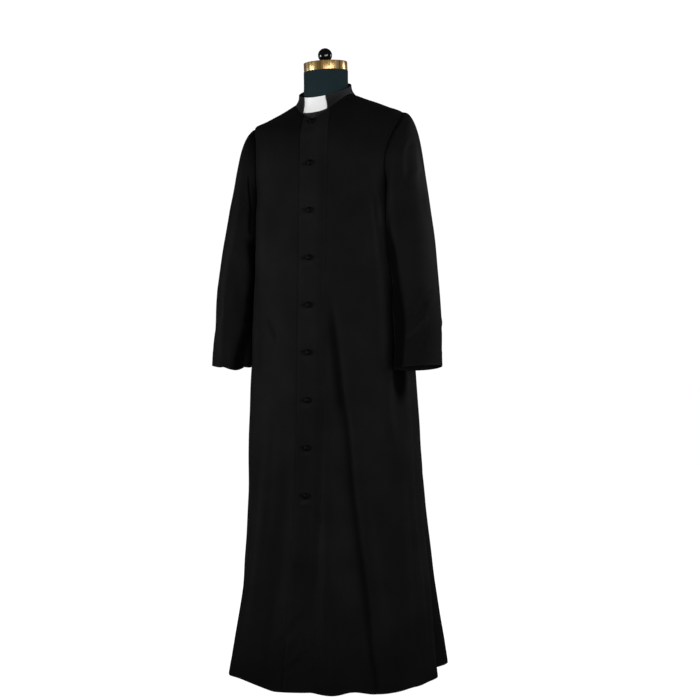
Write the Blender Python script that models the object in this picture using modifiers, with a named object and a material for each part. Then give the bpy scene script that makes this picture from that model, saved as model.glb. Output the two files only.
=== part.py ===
"""A plain black cassock buttoned on a limbless dress form that stands on a round base.

Metres, +Z up. The garment's front faces -Y and the wearer's left is +X. The origin is on the
floor under the middle of the base. Angles round the body run from the centre front (0) over
the wearer's left side (90) to the centre back (180), and over the right side (-90).
"""

import math
from functools import lru_cache

import bmesh
import bpy
import numpy as np
from mathutils import Matrix, Vector

# ---------------------------------------------------------------- driving sizes
WALL = 0.002  # thickness of one cloth wall
SEAM_GAP = 0.0003  # between pieces that are sewn or rest together
LAP_LIFT = WALL + 0.0005  # how far the left front lies above the right one under the lap

HEM_HEIGHT = 0.022  # at the side seams
ARMPIT_HEIGHT = 1.188
SHOULDER_HEIGHT = 1.404  # shoulder point, at the top of the armhole
NECK_HEIGHT = 1.456  # where the shoulder seam meets the collar

LAP_TOP, LAP_HEM = 0.029, 0.032  # lap edge, to the wearer's right of the centre front
BAND_TOP, BAND_HEM = 0.047, 0.034  # band's stitched edge, to the wearer's left of it
UNDERLAP = 0.020  # right front's edge, under the lap
BAND_WALL = 0.0015
BAND_OUT = LAP_LIFT + WALL + SEAM_GAP + BAND_WALL  # the band's outer face, from the cloth's inner

ARMHOLE_FRONT = 17.0  # degrees from the side seam to the armhole's front edge
ARMHOLE_BACK = 19.0
ARMHOLE_LOW = 0.80  # exponent under 1: the armhole is widest below its middle
SHOULDER_SLOPE = 0.37  # rise of the shoulder for each unit along it
SLEEVE_GAP = 0.0006  # from the sleeve's edge to the panels that it stands on

BUTTON_COUNT = 9
BUTTON_TOP = 1.392  # height of the first button's middle
BUTTON_FIRST_GAP = 0.103  # down to the second
BUTTON_PITCH = 0.1165  # between the others
BUTTON_RADIUS = 0.0073
BUTTON_DOME = 0.0042
BUTTON_GAP = 0.0006  # under its flat back, because the band is bent

COLLAR_CENTRE = Vector((0.0, -0.014, 1.480))  # of its top edge
COLLAR_WIDTH, COLLAR_DEPTH = 0.0628, 0.0677  # half sizes of the top edge, inside
COLLAR_TILT = math.radians(25.7)  # the top edge falls to the front
COLLAR_GAP = 0.0010  # from its foot to the panels' slanting neck edges
NOTCH_FOOT = 0.27  # share of the collar's height that stays under the notch
NOTCH_ANGLE_FOOT, NOTCH_ANGLE_TOP = 31.0, 26.0  # half its width, in degrees round the neck
TAB_WALL = 0.0012
TAB_ANGLE = 44.0

FORM_BOTTOM = 0.740
NECK_RADIUS = 0.0558
NECK_AXIS_Y = -0.0135
NECK_TOP = 1.5254
CAP_RADIUS, CAP_HEIGHT = 0.0548, 0.0235
CAP_TILT = math.radians(7.0)
KNOB_RADIUS = 0.0178
POLE_RADIUS = 0.0127
BASE_RADIUS, BASE_HEIGHT = 0.150, 0.012

# The wearer's right shoulder hangs lower, most at this distance from the middle.
LEAN, LEAN_AT = 0.0065, 0.120
LEAN_FROM = 1.050  # the height where that begins

# ---------------------------------------------------------------- mesh density
SKIRT_ROWS = 19
ARMHOLE_STEPS = 9
SHOULDER_ROWS = 4
SIDE_COLUMNS = 9  # between the front band and the side seam
BACK_COLUMNS = 22
SLEEVE_RINGS = 20
COLLAR_ROWS = 4

# ---------------------------------------------------------------- body sections
# One row a section, from the hem up. height: at the side. width: half width. front, back: depth
# before and behind the middle. middle: y of the section's middle. front_drop, back_drop: how far
# the section sinks at the centre front and centre back. front_square, back_square: exponents of
# the section's curve, 2 for an ellipse and more for flatter faces with rounder corners.
BODY_COLUMNS = (
    "height", "width", "front", "back", "middle",
    "front_drop", "back_drop", "front_square", "back_square",
)
BODY_SECTIONS = (
    (HEM_HEIGHT, 0.264, 0.188, 0.240, 0.000, 0.014, 0.000, 2.9, 2.8),
    (0.250, 0.243, 0.156, 0.209, 0.000, 0.004, 0.000, 2.5, 2.6),
    (0.450, 0.2260, 0.133, 0.196, 0.000, 0.000, 0.000, 2.5, 2.5),
    (0.600, 0.2210, 0.124, 0.165, 0.000, 0.000, 0.000, 2.6, 2.5),
    (0.760, 0.2120, 0.117, 0.146, 0.000, 0.000, 0.000, 2.7, 2.6),
    (0.860, 0.2030, 0.112, 0.136, 0.000, 0.000, 0.000, 3.0, 2.7),
    (0.960, 0.1960, 0.107, 0.125, 0.000, 0.000, 0.000, 3.3, 2.8),
    (1.090, 0.1890, 0.103, 0.121, 0.000, 0.000, 0.000, 3.6, 3.0),
    (ARMPIT_HEIGHT, 0.1890, 0.0985, 0.122, 0.000, 0.004, 0.000, 3.9, 3.2),
    (1.290, 0.1900, 0.0950, 0.121, 0.000, 0.014, 0.000, 3.5, 3.1),
    (1.360, 0.1960, 0.0920, 0.112, 0.000, 0.026, -0.004, 2.8, 2.7),
    (SHOULDER_HEIGHT, 0.2030, 0.0880, 0.098, -0.002, 0.040, -0.008, 2.35, 2.3),
    (1.420, 0.1630, 0.0800, 0.086, -0.006, 0.044, -0.010, 2.15, 2.1),
    (1.438, 0.1180, 0.0710, 0.076, -0.011, 0.050, -0.011, 2.05, 2.0),
    (NECK_HEIGHT, 0.0755, 0.0640, 0.0625, -0.0145, 0.056, -0.012, 2.0, 2.0),
)

# One row a fold. top_angle, low_angle: its line round the body at its top and at its low end.
# top, full, fade, end: heights where it starts, is full, begins to fade and has gone; under the
# hem where it runs out through it. depth: out of the cloth, or into it below 0. spread: degrees.
FOLD_COLUMNS = (
    "top_angle", "low_angle", "top", "full", "fade", "end", "depth", "spread",
)
BELOW_HEM = -1.0
FOLDS = (
    # wearer's left front
    (27.0, 51.0, 1.000, 0.620, BELOW_HEM, 2 * BELOW_HEM, -0.012, 7.0),
    (43.0, 62.0, 0.850, 0.250, BELOW_HEM, 2 * BELOW_HEM, 0.010, 8.0),
    (19.0, 26.0, 0.720, 0.120, BELOW_HEM, 2 * BELOW_HEM, 0.012, 8.0),
    (8.0, 10.0, 0.420, 0.080, BELOW_HEM, 2 * BELOW_HEM, -0.008, 6.0),
    (60.0, 57.0, 1.280, 1.170, 1.060, 0.900, 0.005, 8.0),
    (77.0, 77.0, 0.860, 0.780, 0.680, 0.560, -0.010, 6.0),
    # wearer's left side and back
    (94.0, 98.0, 0.520, 0.100, BELOW_HEM, 2 * BELOW_HEM, 0.012, 8.0),
    (112.0, 117.0, 0.600, 0.080, BELOW_HEM, 2 * BELOW_HEM, -0.030, 8.5),
    (136.0, 135.0, 0.850, 0.150, BELOW_HEM, 2 * BELOW_HEM, 0.024, 11.0),
    (160.0, 158.0, 0.900, 0.300, BELOW_HEM, 2 * BELOW_HEM, -0.020, 9.0),
    (176.0, 175.0, 0.800, 0.200, BELOW_HEM, 2 * BELOW_HEM, 0.014, 8.0),
    # wearer's right front
    (-6.0, -9.0, 0.500, 0.060, BELOW_HEM, 2 * BELOW_HEM, 0.010, 9.0),
    (-24.0, -26.0, 0.700, 0.250, BELOW_HEM, 2 * BELOW_HEM, -0.006, 8.0),
    (-44.0, -47.0, 0.800, 0.200, BELOW_HEM, 2 * BELOW_HEM, 0.014, 10.0),
    (-66.0, -72.0, 0.640, 0.200, BELOW_HEM, 2 * BELOW_HEM, -0.010, 8.0),
    (-60.0, -57.0, 1.280, 1.170, 1.060, 0.900, 0.006, 8.0),
    # wearer's right side and back
    (-92.0, -96.0, 0.560, 0.150, BELOW_HEM, 2 * BELOW_HEM, 0.011, 8.0),
    (-112.0, -116.0, 0.620, 0.100, BELOW_HEM, 2 * BELOW_HEM, -0.026, 9.0),
    (-134.0, -137.0, 0.820, 0.180, BELOW_HEM, 2 * BELOW_HEM, 0.020, 11.0),
    (-161.0, -162.0, 0.860, 0.260, BELOW_HEM, 2 * BELOW_HEM, -0.016, 8.0),
    # where the sleeves lie against the sides
    (90.0, 90.0, 1.300, 1.190, 1.130, 0.960, -0.018, 21.0),
    (-90.0, -90.0, 1.300, 1.190, 1.130, 0.960, -0.018, 21.0),
)

# ---------------------------------------------------------------- sleeve sections
# One row a ring, from the armhole to the cuff. along: 0 to 1. outer_x, outer_z and inner_x,
# inner_z: its two ends across the arm. middle: y. depth: half depth. turn: degrees that the ring
# turns, its back outwards. own: how far the ring has left the armhole's curve for its own.
SLEEVE_COLUMNS = (
    "along", "outer_x", "outer_z", "inner_x", "inner_z", "middle", "depth", "turn", "own",
)
SLEEVE_SECTIONS = (
    (0.000, 0.2050, 1.4050, 0.1735, 1.1880, 0.000, 0.058, 0.0, 0.0),
    (0.035, 0.2190, 1.4030, 0.1745, 1.1760, -0.001, 0.062, 0.0, 0.35),
    (0.075, 0.2300, 1.3900, 0.1755, 1.1640, -0.002, 0.067, 1.0, 0.70),
    (0.140, 0.2400, 1.3530, 0.1770, 1.1440, -0.005, 0.072, 2.0, 1.0),
    (0.250, 0.2530, 1.2800, 0.1800, 1.1080, -0.011, 0.076, 4.0, 1.0),
    (0.400, 0.2720, 1.1830, 0.1860, 1.0570, -0.019, 0.076, 6.0, 1.0),
    (0.550, 0.2880, 1.0850, 0.1960, 1.0030, -0.029, 0.075, 8.0, 1.0),
    (0.750, 0.3015, 0.9520, 0.2070, 0.9080, -0.041, 0.075, 10.0, 1.0),
    (1.000, 0.3095, 0.7930, 0.2150, 0.7800, -0.049, 0.075, 10.0, 1.0),
)

# One row a sleeve fold. along: its middle. angle: round the sleeve, 0 outside, 90 front, 180
# inside. skew: degrees that its line turns per unit of along. length: half of it, in along.
SLEEVE_FOLD_COLUMNS = ("along", "angle", "skew", "depth", "length", "spread")
SLEEVE_FOLDS = (
    (0.60, 130.0, 160.0, -0.006, 0.110, 24.0),
    (0.72, 95.0, -140.0, 0.004, 0.090, 22.0),
    (0.80, 60.0, -260.0, -0.005, 0.090, 20.0),
    (0.90, 150.0, 120.0, -0.006, 0.110, 24.0),
    (0.45, 200.0, 60.0, -0.005, 0.120, 30.0),
    (0.66, 270.0, 150.0, -0.005, 0.120, 24.0),
    (0.86, 300.0, -120.0, 0.004, 0.100, 24.0),
)

# One row a level of the form inside the cloth. height: at the side. clear: distance to the cloth.
FORM_COLUMNS = ("height", "clear")
FORM_SIDE = 1.6  # degrees from the side seam's line to the form's nearest columns
FORM_CLEARANCE = (
    (FORM_BOTTOM, 0.028),
    (0.960, 0.018),
    (ARMPIT_HEIGHT, 0.011),
    (1.290, 0.009),
    (1.375, 0.004),
    (SHOULDER_HEIGHT, 0.0010),
    (1.420, 0.0008),
    (1.436, 0.0008),
    (1.448, 0.0050),
    (NECK_HEIGHT, 0.0125),
)

BLACK_CLOTH = ("black_cloth", (0.010, 0.010, 0.011, 1.0), 0.62, 0.0)
BLACK_BUTTON = ("black_button", (0.008, 0.008, 0.009, 1.0), 0.45, 0.0)
WHITE_TAB = ("white_tab", (0.80, 0.80, 0.80, 1.0), 0.45, 0.0)
FORM_JERSEY = ("form_jersey", (0.008, 0.016, 0.019, 1.0), 0.75, 0.0)
GOLD_METAL = ("gold_metal", (0.85, 0.58, 0.26, 1.0), 0.22, 1.0)
BLACK_GLOSS = ("black_gloss", (0.01, 0.01, 0.01, 1.0), 0.15, 0.0)
STAND_STEEL = ("stand_steel", (0.03, 0.03, 0.032, 1.0), 0.40, 0.8)


# ---------------------------------------------------------------- curves through tables
def smooth_column(knots, values, at):
    """Value of a smooth curve through a table's column that never swings past its rows."""
    at = min(max(at, knots[0]), knots[-1])
    spans = np.diff(knots)
    rises = np.diff(values) / spans
    slopes = np.zeros(len(knots))
    for row in range(1, len(knots) - 1):
        before, after = rises[row - 1], rises[row]
        if before * after > 0:
            slopes[row] = 2 * before * after / (before + after)
    slopes[0], slopes[-1] = rises[0], rises[-1]
    row = min(int(np.searchsorted(knots, at, side="right")) - 1, len(spans) - 1)
    t = (at - knots[row]) / spans[row]
    return (
        (1 + 2 * t) * (1 - t) ** 2 * values[row]
        + t * (1 - t) ** 2 * spans[row] * slopes[row]
        + t * t * (3 - 2 * t) * values[row + 1]
        - t * t * (1 - t) * spans[row] * slopes[row + 1]
    )


@lru_cache(maxsize=None)
def read_section(columns, rows, at):
    """One section of a table, by column name, at any place between its first and last rows."""
    table = np.array(rows)
    return {
        name: smooth_column(table[:, 0], table[:, place], at)
        for place, name in enumerate(columns)
    }


def ease(value, start, finish):
    """0 at start, 1 at finish and smooth between them."""
    t = min(max((value - start) / (finish - start), 0.0), 1.0)
    return t * t * (3 - 2 * t)


def mix(first, second, share):
    return first + (second - first) * share


# ---------------------------------------------------------------- the body's surface
def angle_between(angle, line):
    return (angle - line + 180.0) % 360.0 - 180.0


def fold_depth(angle, height):
    """How far the folds move the cloth outwards at one place."""
    total = 0.0
    for row in FOLDS:
        fold = dict(zip(FOLD_COLUMNS, row))
        strength = ease(height, fold["top"], fold["full"])
        strength *= 1.0 - ease(height, fold["fade"], fold["end"])
        run = (fold["top"] - height) / (fold["top"] - max(fold["end"], HEM_HEIGHT))
        line = mix(fold["top_angle"], fold["low_angle"], min(max(run, 0.0), 1.0))
        off = angle_between(angle, line) / fold["spread"]
        total += fold["depth"] * strength * math.exp(-off * off)
    return total


def leaned(point):
    """The point raised on the wearer's left and lowered on the right, fully at the shoulders."""
    share = math.sin(math.pi / 2 * point.x / LEAN_AT)
    point.z += LEAN * share * ease(point.z, LEAN_FROM, SHOULDER_HEIGHT)
    return point


def body_point(angle, height):
    """Point of the cloth's inner surface at an angle round the body and a height at the side."""
    section = read_section(BODY_COLUMNS, BODY_SECTIONS, height)
    across = math.sin(math.radians(angle))
    ahead = math.cos(math.radians(angle))
    face = "front" if ahead > 0 else "back"
    power = section[face + "_square"]
    reach = (
        (abs(across) / section["width"]) ** power + (abs(ahead) / section[face]) ** power
    ) ** (-1 / power)
    reach += fold_depth(angle, height)
    drop = section[face + "_drop"] * ahead * ahead
    return leaned(Vector((reach * across, section["middle"] - reach * ahead, height - drop)))


def body_normal(angle, height):
    """Outward direction of the cloth there."""
    turn, rise = 0.4, 0.002
    low = max(height - rise, HEM_HEIGHT)
    high = min(height + rise, NECK_HEIGHT)
    round_way = body_point(angle + turn, height) - body_point(angle - turn, height)
    up_way = body_point(angle, high) - body_point(angle, low)
    return round_way.cross(up_way).normalized()


def cloth_point(angle, height, out=0.0):
    """Point at a distance out from the cloth's inner surface."""
    return body_point(angle, height) + body_normal(angle, height) * out


def section_through(height):
    """Side height of the section whose centre front, which hangs lower, is at this height."""
    side_height = height
    for _ in range(12):
        drop = read_section(BODY_COLUMNS, BODY_SECTIONS, side_height)["front_drop"]
        side_height = height + drop
    return side_height


def angle_at(distance, height):
    """Angle at which the front lies this far from the centre front, to the wearer's left."""
    front = read_section(BODY_COLUMNS, BODY_SECTIONS, height)["front"]
    return math.degrees(math.atan2(distance, front))


def seam_shift(angle, height):
    """Half a seam's gap, in degrees."""
    point = body_point(angle, height)
    return math.degrees(0.5 * SEAM_GAP / math.hypot(point.x, point.y))


# ---------------------------------------------------------------- rows and edges of the panels
def armhole_spread(height):
    """0 at the armpit and the shoulder point, 1 where the armhole is widest."""
    share = (height - ARMPIT_HEIGHT) / (SHOULDER_HEIGHT - ARMPIT_HEIGHT)
    share = min(max(share, 0.0), 1.0)
    return math.sin(math.pi * share**ARMHOLE_LOW)


def armhole_heights():
    """Heights of the armhole's points, closer together at its two ends."""
    middle = 0.5 * (ARMPIT_HEIGHT + SHOULDER_HEIGHT)
    half = 0.5 * (SHOULDER_HEIGHT - ARMPIT_HEIGHT)
    return [
        middle - half * math.cos(math.pi * step / ARMHOLE_STEPS)
        for step in range(ARMHOLE_STEPS + 1)
    ]


def panel_heights():
    """Heights of a panel's rows, from the hem to the neck."""
    skirt = np.linspace(HEM_HEIGHT, ARMPIT_HEIGHT, SKIRT_ROWS + 1)[:-1]
    shoulder = np.linspace(SHOULDER_HEIGHT, NECK_HEIGHT, SHOULDER_ROWS + 1)[1:]
    return [*map(float, skirt), *armhole_heights(), *map(float, shoulder)]


def side_angle(height, spread):
    """Angle of a panel's side edge: the side seam, the armhole's edge or the shoulder seam."""
    return 90.0 - spread * armhole_spread(height)


def run_down(height):
    """0 at the neck and 1 at the hem."""
    return (NECK_HEIGHT - height) / (NECK_HEIGHT - HEM_HEIGHT)


def lap_edge(height):
    return mix(LAP_TOP, LAP_HEM, run_down(height))


def band_edge(height):
    return mix(BAND_TOP, BAND_HEM, run_down(height))


def centre_angles(height):
    """Angles of the columns that both fronts and the band share, from the lap's edge."""
    lap = lap_edge(height)
    return [angle_at(place, height) for place in (-lap, -0.5 * lap, 0.0, UNDERLAP)]


def spread_angles(first, last, count, height):
    """Angles of this many equal steps along the cloth from one angle to another."""
    fine = np.linspace(first, last, 41)
    points = [body_point(float(angle), height) for angle in fine]
    steps = [(after - before).length for before, after in zip(points, points[1:])]
    run = np.concatenate(([0.0], np.cumsum(steps)))
    places = np.linspace(0.0, run[-1], count + 1)[1:]
    return [float(angle) for angle in np.interp(places, run, fine)]


def left_front_row(height):
    """(angle, lift) of each point of a row of the left front."""
    angles = [(angle, LAP_LIFT) for angle in centre_angles(height)]
    band = angle_at(band_edge(height), height)
    side = side_angle(height, ARMHOLE_FRONT) - seam_shift(90.0, height)
    angles.append((band, 0.0))
    angles += [(angle, 0.0) for angle in spread_angles(band, side, SIDE_COLUMNS, height)]
    return angles


def right_front_row(height):
    """(angle, lift) of each point of a row of the right front, from its side edge."""
    centre = centre_angles(height)
    side = -side_angle(height, ARMHOLE_FRONT) + seam_shift(90.0, height)
    outer = spread_angles(centre[0], side, SIDE_COLUMNS, height)
    return [(angle, 0.0) for angle in (*reversed(outer), *centre)]


def back_row(height):
    """(angle, lift) of each point of a row of the back, from the left side round to the right."""
    shift = seam_shift(90.0, height)
    first = 180.0 - side_angle(height, ARMHOLE_BACK) + shift
    last = 180.0 + side_angle(height, ARMHOLE_BACK) - shift
    return [(first, 0.0)] + [
        (angle, 0.0) for angle in spread_angles(first, last, BACK_COLUMNS, height)
    ]


# ---------------------------------------------------------------- meshes
def make_material(name, colour, roughness, metallic):
    material = bpy.data.materials.get(name) or bpy.data.materials.new(name)
    material.use_nodes = True
    shader = material.node_tree.nodes["Principled BSDF"]
    shader.inputs["Base Color"].default_value = colour
    shader.inputs["Roughness"].default_value = roughness
    shader.inputs["Metallic"].default_value = metallic
    return material


def add_object(name, mesh, finish, parts):
    mesh.materials.append(make_material(*finish))
    mesh.shade_smooth()
    mesh.set_sharp_from_angle(angle=math.radians(40))
    thing = bpy.data.objects.new(name, mesh)
    parts.objects.link(thing)
    return thing


def mesh_from(name, build):
    """Mesh of a bmesh that build() fills."""
    shape = bmesh.new()
    build(shape)
    bmesh.ops.recalc_face_normals(shape, faces=shape.faces)
    mesh = bpy.data.meshes.new(name)
    shape.to_mesh(mesh)
    shape.free()
    return mesh


def add_skin(shape, grid, closed):
    """Triangles over a grid of vertices, all with the same diagonal."""
    columns = len(grid[0])
    for low, high in zip(grid, grid[1:]):
        for column in range(columns if closed else columns - 1):
            after = (column + 1) % columns
            shape.faces.new((low[column], low[after], high[after]))
            shape.faces.new((low[column], high[after], high[column]))


def add_strip(shape, first, second, closed=False):
    """Quads between two lines of vertices."""
    count = len(first)
    for place in range(count if closed else count - 1):
        after = (place + 1) % count
        shape.faces.new((first[place], first[after], second[after], second[place]))


def cloth_wall(name, inner, outer, finish, parts, closed=False):
    """A wall between two grids of points; closed grids run round a tube."""

    def build(shape):
        skins = [[[shape.verts.new(point) for point in row] for row in grid] for grid in (inner, outer)]
        for skin in skins:
            add_skin(shape, skin, closed)
        inside, outside = skins
        for row in (0, -1):
            add_strip(shape, inside[row], outside[row], closed)
        if not closed:
            for column in (0, -1):
                add_strip(shape, [row[column] for row in inside], [row[column] for row in outside])

    return add_object(name, mesh_from(name, build), finish, parts)


def turned_piece(name, profile, steps, finish, parts, placing):
    """A profile of (radius, height) points, from its foot on the axis to its top, turned round Z."""
    shape = bmesh.new()
    points = [shape.verts.new((radius, 0.0, height)) for radius, height in reversed(profile)]
    for first, second in zip(points, points[1:]):
        shape.edges.new((first, second))
    mesh = bpy.data.meshes.new(name)
    shape.to_mesh(mesh)
    shape.free()
    thing = add_object(name, mesh, finish, parts)
    screw = thing.modifiers.new("turn", "SCREW")
    screw.steps = steps
    screw.render_steps = steps
    screw.use_merge_vertices = True
    screw.merge_threshold = 0.00001
    screw.use_smooth_shade = True
    thing.matrix_world = placing
    return thing


def arc_profile(radius, centre_height, first_degrees, last_degrees, count):
    """Points of an arc in a turned piece's profile; 0 degrees is level, 90 is the top."""
    turns = np.radians(np.linspace(first_degrees, last_degrees, count))
    return [(radius * math.cos(turn), centre_height + radius * math.sin(turn)) for turn in turns]


# ---------------------------------------------------------------- the garment
def add_panel(name, row_at, parts):
    heights = panel_heights()
    rows = [[(angle, height, lift) for angle, lift in row_at(height)] for height in heights]
    inner = [[cloth_point(angle, height, lift) for angle, height, lift in row] for row in rows]
    outer = [[cloth_point(angle, height, lift + WALL) for angle, height, lift in row] for row in rows]
    return cloth_wall(name, inner, outer, BLACK_CLOTH, parts)


def add_front_band(parts):
    """The band sewn on the left front's edge, on that panel's own columns."""
    under = WALL + SEAM_GAP
    inner, outer = [], []
    for height in panel_heights():
        columns = left_front_row(height)[:5]
        inner.append([cloth_point(angle, height, lift + under) for angle, lift in columns])
        outer.append([cloth_point(angle, height, lift + under + BAND_WALL) for angle, lift in columns])
    return cloth_wall("front_band", inner, outer, BLACK_CLOTH, parts)


def add_buttons(parts):
    """Domed buttons down the centre front, on the band."""
    seat = BAND_OUT + BUTTON_GAP
    edge = BUTTON_DOME * 0.45
    crown = [
        (BUTTON_RADIUS * math.cos(turn), edge + (BUTTON_DOME - edge) * math.sin(turn))
        for turn in np.radians((0, 30, 60))
    ]
    profile = [(0.0, 0.0), (BUTTON_RADIUS * 0.88, 0.0), *crown, (0.0, BUTTON_DOME)]
    second = BUTTON_TOP - BUTTON_FIRST_GAP
    heights = [BUTTON_TOP, *(second - number * BUTTON_PITCH for number in range(BUTTON_COUNT - 1))]
    for number, height in enumerate(heights):
        side_height = section_through(height)
        facing = body_normal(0.0, side_height)
        place = body_point(0.0, side_height) + facing * seat
        placing = Matrix.Translation(place) @ facing.to_track_quat("Z", "Y").to_matrix().to_4x4()
        turned_piece(f"button_{number + 1}", profile, 14, BLACK_BUTTON, parts, placing)


def armhole_loop(side, margin, out):
    """Points round an armhole, from the shoulder point forwards; margin widens it."""
    points = []
    heights = armhole_heights()
    middle = 0.5 * (ARMPIT_HEIGHT + SHOULDER_HEIGHT)
    half = 0.5 * (SHOULDER_HEIGHT - ARMPIT_HEIGHT)
    for spread, way, order in ((ARMHOLE_FRONT, -1, heights[:0:-1]), (ARMHOLE_BACK, 1, heights[:-1])):
        for height in order:
            rise = margin if height < middle else margin * SHOULDER_SLOPE
            wider = middle + (height - middle) * (half + rise) / half
            degrees = math.degrees(margin / 0.18) * armhole_spread(height)
            angle = 90.0 + way * (spread * armhole_spread(height) + degrees)
            points.append(cloth_point(side * angle, wider, out))
    return points


def sleeve_fold(along, degrees):
    total = 0.0
    for row in SLEEVE_FOLDS:
        fold = dict(zip(SLEEVE_FOLD_COLUMNS, row))
        run = (along - fold["along"]) / fold["length"]
        line = fold["angle"] + fold["skew"] * (along - fold["along"])
        off = angle_between(degrees, line) / fold["spread"]
        total += fold["depth"] * math.exp(-run * run - off * off)
    return total


def sleeve_ring(side, along, count):
    """Outer points of one ring, from the shoulder side forwards, on its own curve."""
    ring = read_section(SLEEVE_COLUMNS, SLEEVE_SECTIONS, along)
    outer = Vector((ring["outer_x"], 0.0, ring["outer_z"]))
    inner = Vector((ring["inner_x"], 0.0, ring["inner_z"]))
    centre = 0.5 * (outer + inner) + Vector((0.0, ring["middle"], 0.0))
    across = 0.5 * (outer - inner)
    turn = math.radians(ring["turn"])
    ahead = Vector((-math.sin(turn), -math.cos(turn), 0.0)) * ring["depth"]
    across = across + Vector((0.0, -math.sin(turn) * across.x, 0.0))
    points = []
    for place in range(count):
        degrees = 360.0 * place / count
        swell = sleeve_fold(along, degrees if side > 0 else degrees + 12.0) * ring["own"]
        way = across * math.cos(math.radians(degrees)) + ahead * math.sin(math.radians(degrees))
        point = centre + way + way.normalized() * swell
        points.append(leaned(Vector((side * point.x, point.y, point.z))))
    return points


def grid_normals(grid, side):
    """Outward normals of a closed grid of rings."""
    normals = []
    for number, ring in enumerate(grid):
        before = grid[max(number - 1, 0)]
        after = grid[min(number + 1, len(grid) - 1)]
        row = []
        for place in range(len(ring)):
            round_way = ring[(place + 1) % len(ring)] - ring[place - 1]
            down_way = after[place] - before[place]
            row.append(round_way.cross(down_way).normalized() * side)
        normals.append(row)
    return normals


def add_sleeve(name, side, parts):
    """A tube from the armhole, where it stands on the panels, to the open cuff."""
    count = 2 * ARMHOLE_STEPS
    stand = WALL + SLEEVE_GAP
    edge_inner = armhole_loop(side, 0.0, stand)
    edge_outer = armhole_loop(side, WALL, stand)
    first_ring = sleeve_ring(side, 0.0, count)
    outer = [edge_outer]
    for step in range(1, SLEEVE_RINGS + 1):
        share = step / SLEEVE_RINGS
        along = share ** 1.35
        own = read_section(SLEEVE_COLUMNS, SLEEVE_SECTIONS, along)["own"]
        ring = sleeve_ring(side, along, count)
        outer.append(
            [
                point + (edge - start) * (1.0 - own)
                for point, edge, start in zip(ring, edge_outer, first_ring)
            ]
        )
    normals = grid_normals(outer, side)
    inner = [edge_inner] + [
        [point - normal * WALL for point, normal in zip(ring, row)]
        for ring, row in zip(outer[1:], normals[1:])
    ]
    return cloth_wall(name, inner, outer, BLACK_CLOTH, parts, closed=True)


def collar_point(angle, share, out=0.0):
    """Point of the collar's inner surface, share of the way up, moved out level."""
    across = math.sin(math.radians(angle))
    ahead = math.cos(math.radians(angle))
    under_band = 1.0 - ease(abs(angle_between(angle, 0.0)), 30.0, 60.0)
    seam = body_point(angle, NECK_HEIGHT)
    seam.z += mix(WALL, BAND_OUT, under_band) * body_normal(angle, NECK_HEIGHT).z + COLLAR_GAP
    top = COLLAR_CENTRE + Vector(
        (
            COLLAR_WIDTH * across,
            -COLLAR_DEPTH * ahead * math.cos(COLLAR_TILT),
            -COLLAR_DEPTH * ahead * math.sin(COLLAR_TILT),
        )
    )
    bow = 0.0025 * math.sin(math.pi * share)
    return mix(seam, top, share) + Vector((across, -ahead, 0.0)) * (out - bow)


def collar_angles():
    """Angles of the panels' columns at the neck, from one of the collar's ends to the other."""
    slit = math.degrees(0.5 * SEAM_GAP / COLLAR_DEPTH)
    around = sorted(angle % 360.0 for angle in form_angles(NECK_HEIGHT))
    return [slit, *(angle for angle in around if 1.0 < angle < 359.0), 360.0 - slit]


def add_collar(parts, cutters):
    """A standing band whose ends meet at the centre front, notched there for the tab."""
    angles = collar_angles()
    shares = np.linspace(0.0, 1.0, COLLAR_ROWS + 1)
    grids = [
        [[collar_point(angle, share, out) for angle in angles] for share in shares]
        for out in (0.0, WALL)
    ]
    collar = cloth_wall("collar", *grids, BLACK_CLOTH, parts)
    cut = collar.modifiers.new("notch", "BOOLEAN")
    cut.operation = "DIFFERENCE"
    cut.object = add_notch_cutter(cutters)
    return collar


def add_notch_cutter(cutters):
    """Block through the collar's front, whose foot runs along the strip that stays."""
    reach = 0.008
    grids = []
    for out in (-reach, WALL + reach):
        grid = []
        for share in np.linspace(NOTCH_FOOT, 1.2, COLLAR_ROWS):
            half = mix(NOTCH_ANGLE_FOOT, NOTCH_ANGLE_TOP, ease(share, NOTCH_FOOT, 1.0))
            grid.append([collar_point(angle, share, out) for angle in np.linspace(-half, half, 11)])
        grids.append(grid)
    cutter = cloth_wall("notch_cutter", *grids, BLACK_CLOTH, cutters)
    cutter.hide_render = True
    cutter.display_type = "WIRE"
    return cutter


def add_tab(parts):
    """White strip inside the collar's front, seen through the notch, on the collar's columns."""
    around = sorted(angle_between(angle, 0.0) for angle in collar_angles()[1:-1])
    sides = [angle for angle in around if abs(angle) < TAB_ANGLE]
    angles = sorted((*sides, 0.0))
    shares = (0.08, 0.25, 0.50, 0.75, 0.965)
    gap = 2 * SEAM_GAP
    grids = [
        [[collar_point(angle, share, -gap - depth) for angle in angles] for share in shares]
        for depth in (TAB_WALL, 0.0)
    ]
    return cloth_wall("collar_tab", *grids, WHITE_TAB, parts)


# ---------------------------------------------------------------- the dress form
def form_angles(height):
    """Angles of the panels' own columns, with the side seams' pairs held apart."""
    left = [angle for angle, _ in left_front_row(height)]
    back = [angle for angle, _ in back_row(height)]
    right = [angle + 360.0 for angle, _ in right_front_row(height)][:-4]
    left[-1] = min(left[-1], 90.0 - FORM_SIDE)
    back[0] = max(back[0], 90.0 + FORM_SIDE)
    back[-1] = min(back[-1], 270.0 - FORM_SIDE)
    right[0] = max(right[0], 270.0 + FORM_SIDE)
    return [*left, *back, *right]


def form_ring(height):
    clear = read_section(FORM_COLUMNS, FORM_CLEARANCE, height)["clear"]
    return [cloth_point(angle, height, -clear) for angle in form_angles(height)]


def neck_ring(radius, height, tilt):
    turns = [math.radians(angle) for angle in form_angles(NECK_HEIGHT)]
    return [
        Vector(
            (
                radius * math.sin(turn),
                NECK_AXIS_Y - radius * math.cos(turn) * math.cos(tilt),
                height - radius * math.cos(turn) * math.sin(tilt),
            )
        )
        for turn in turns
    ]


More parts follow.
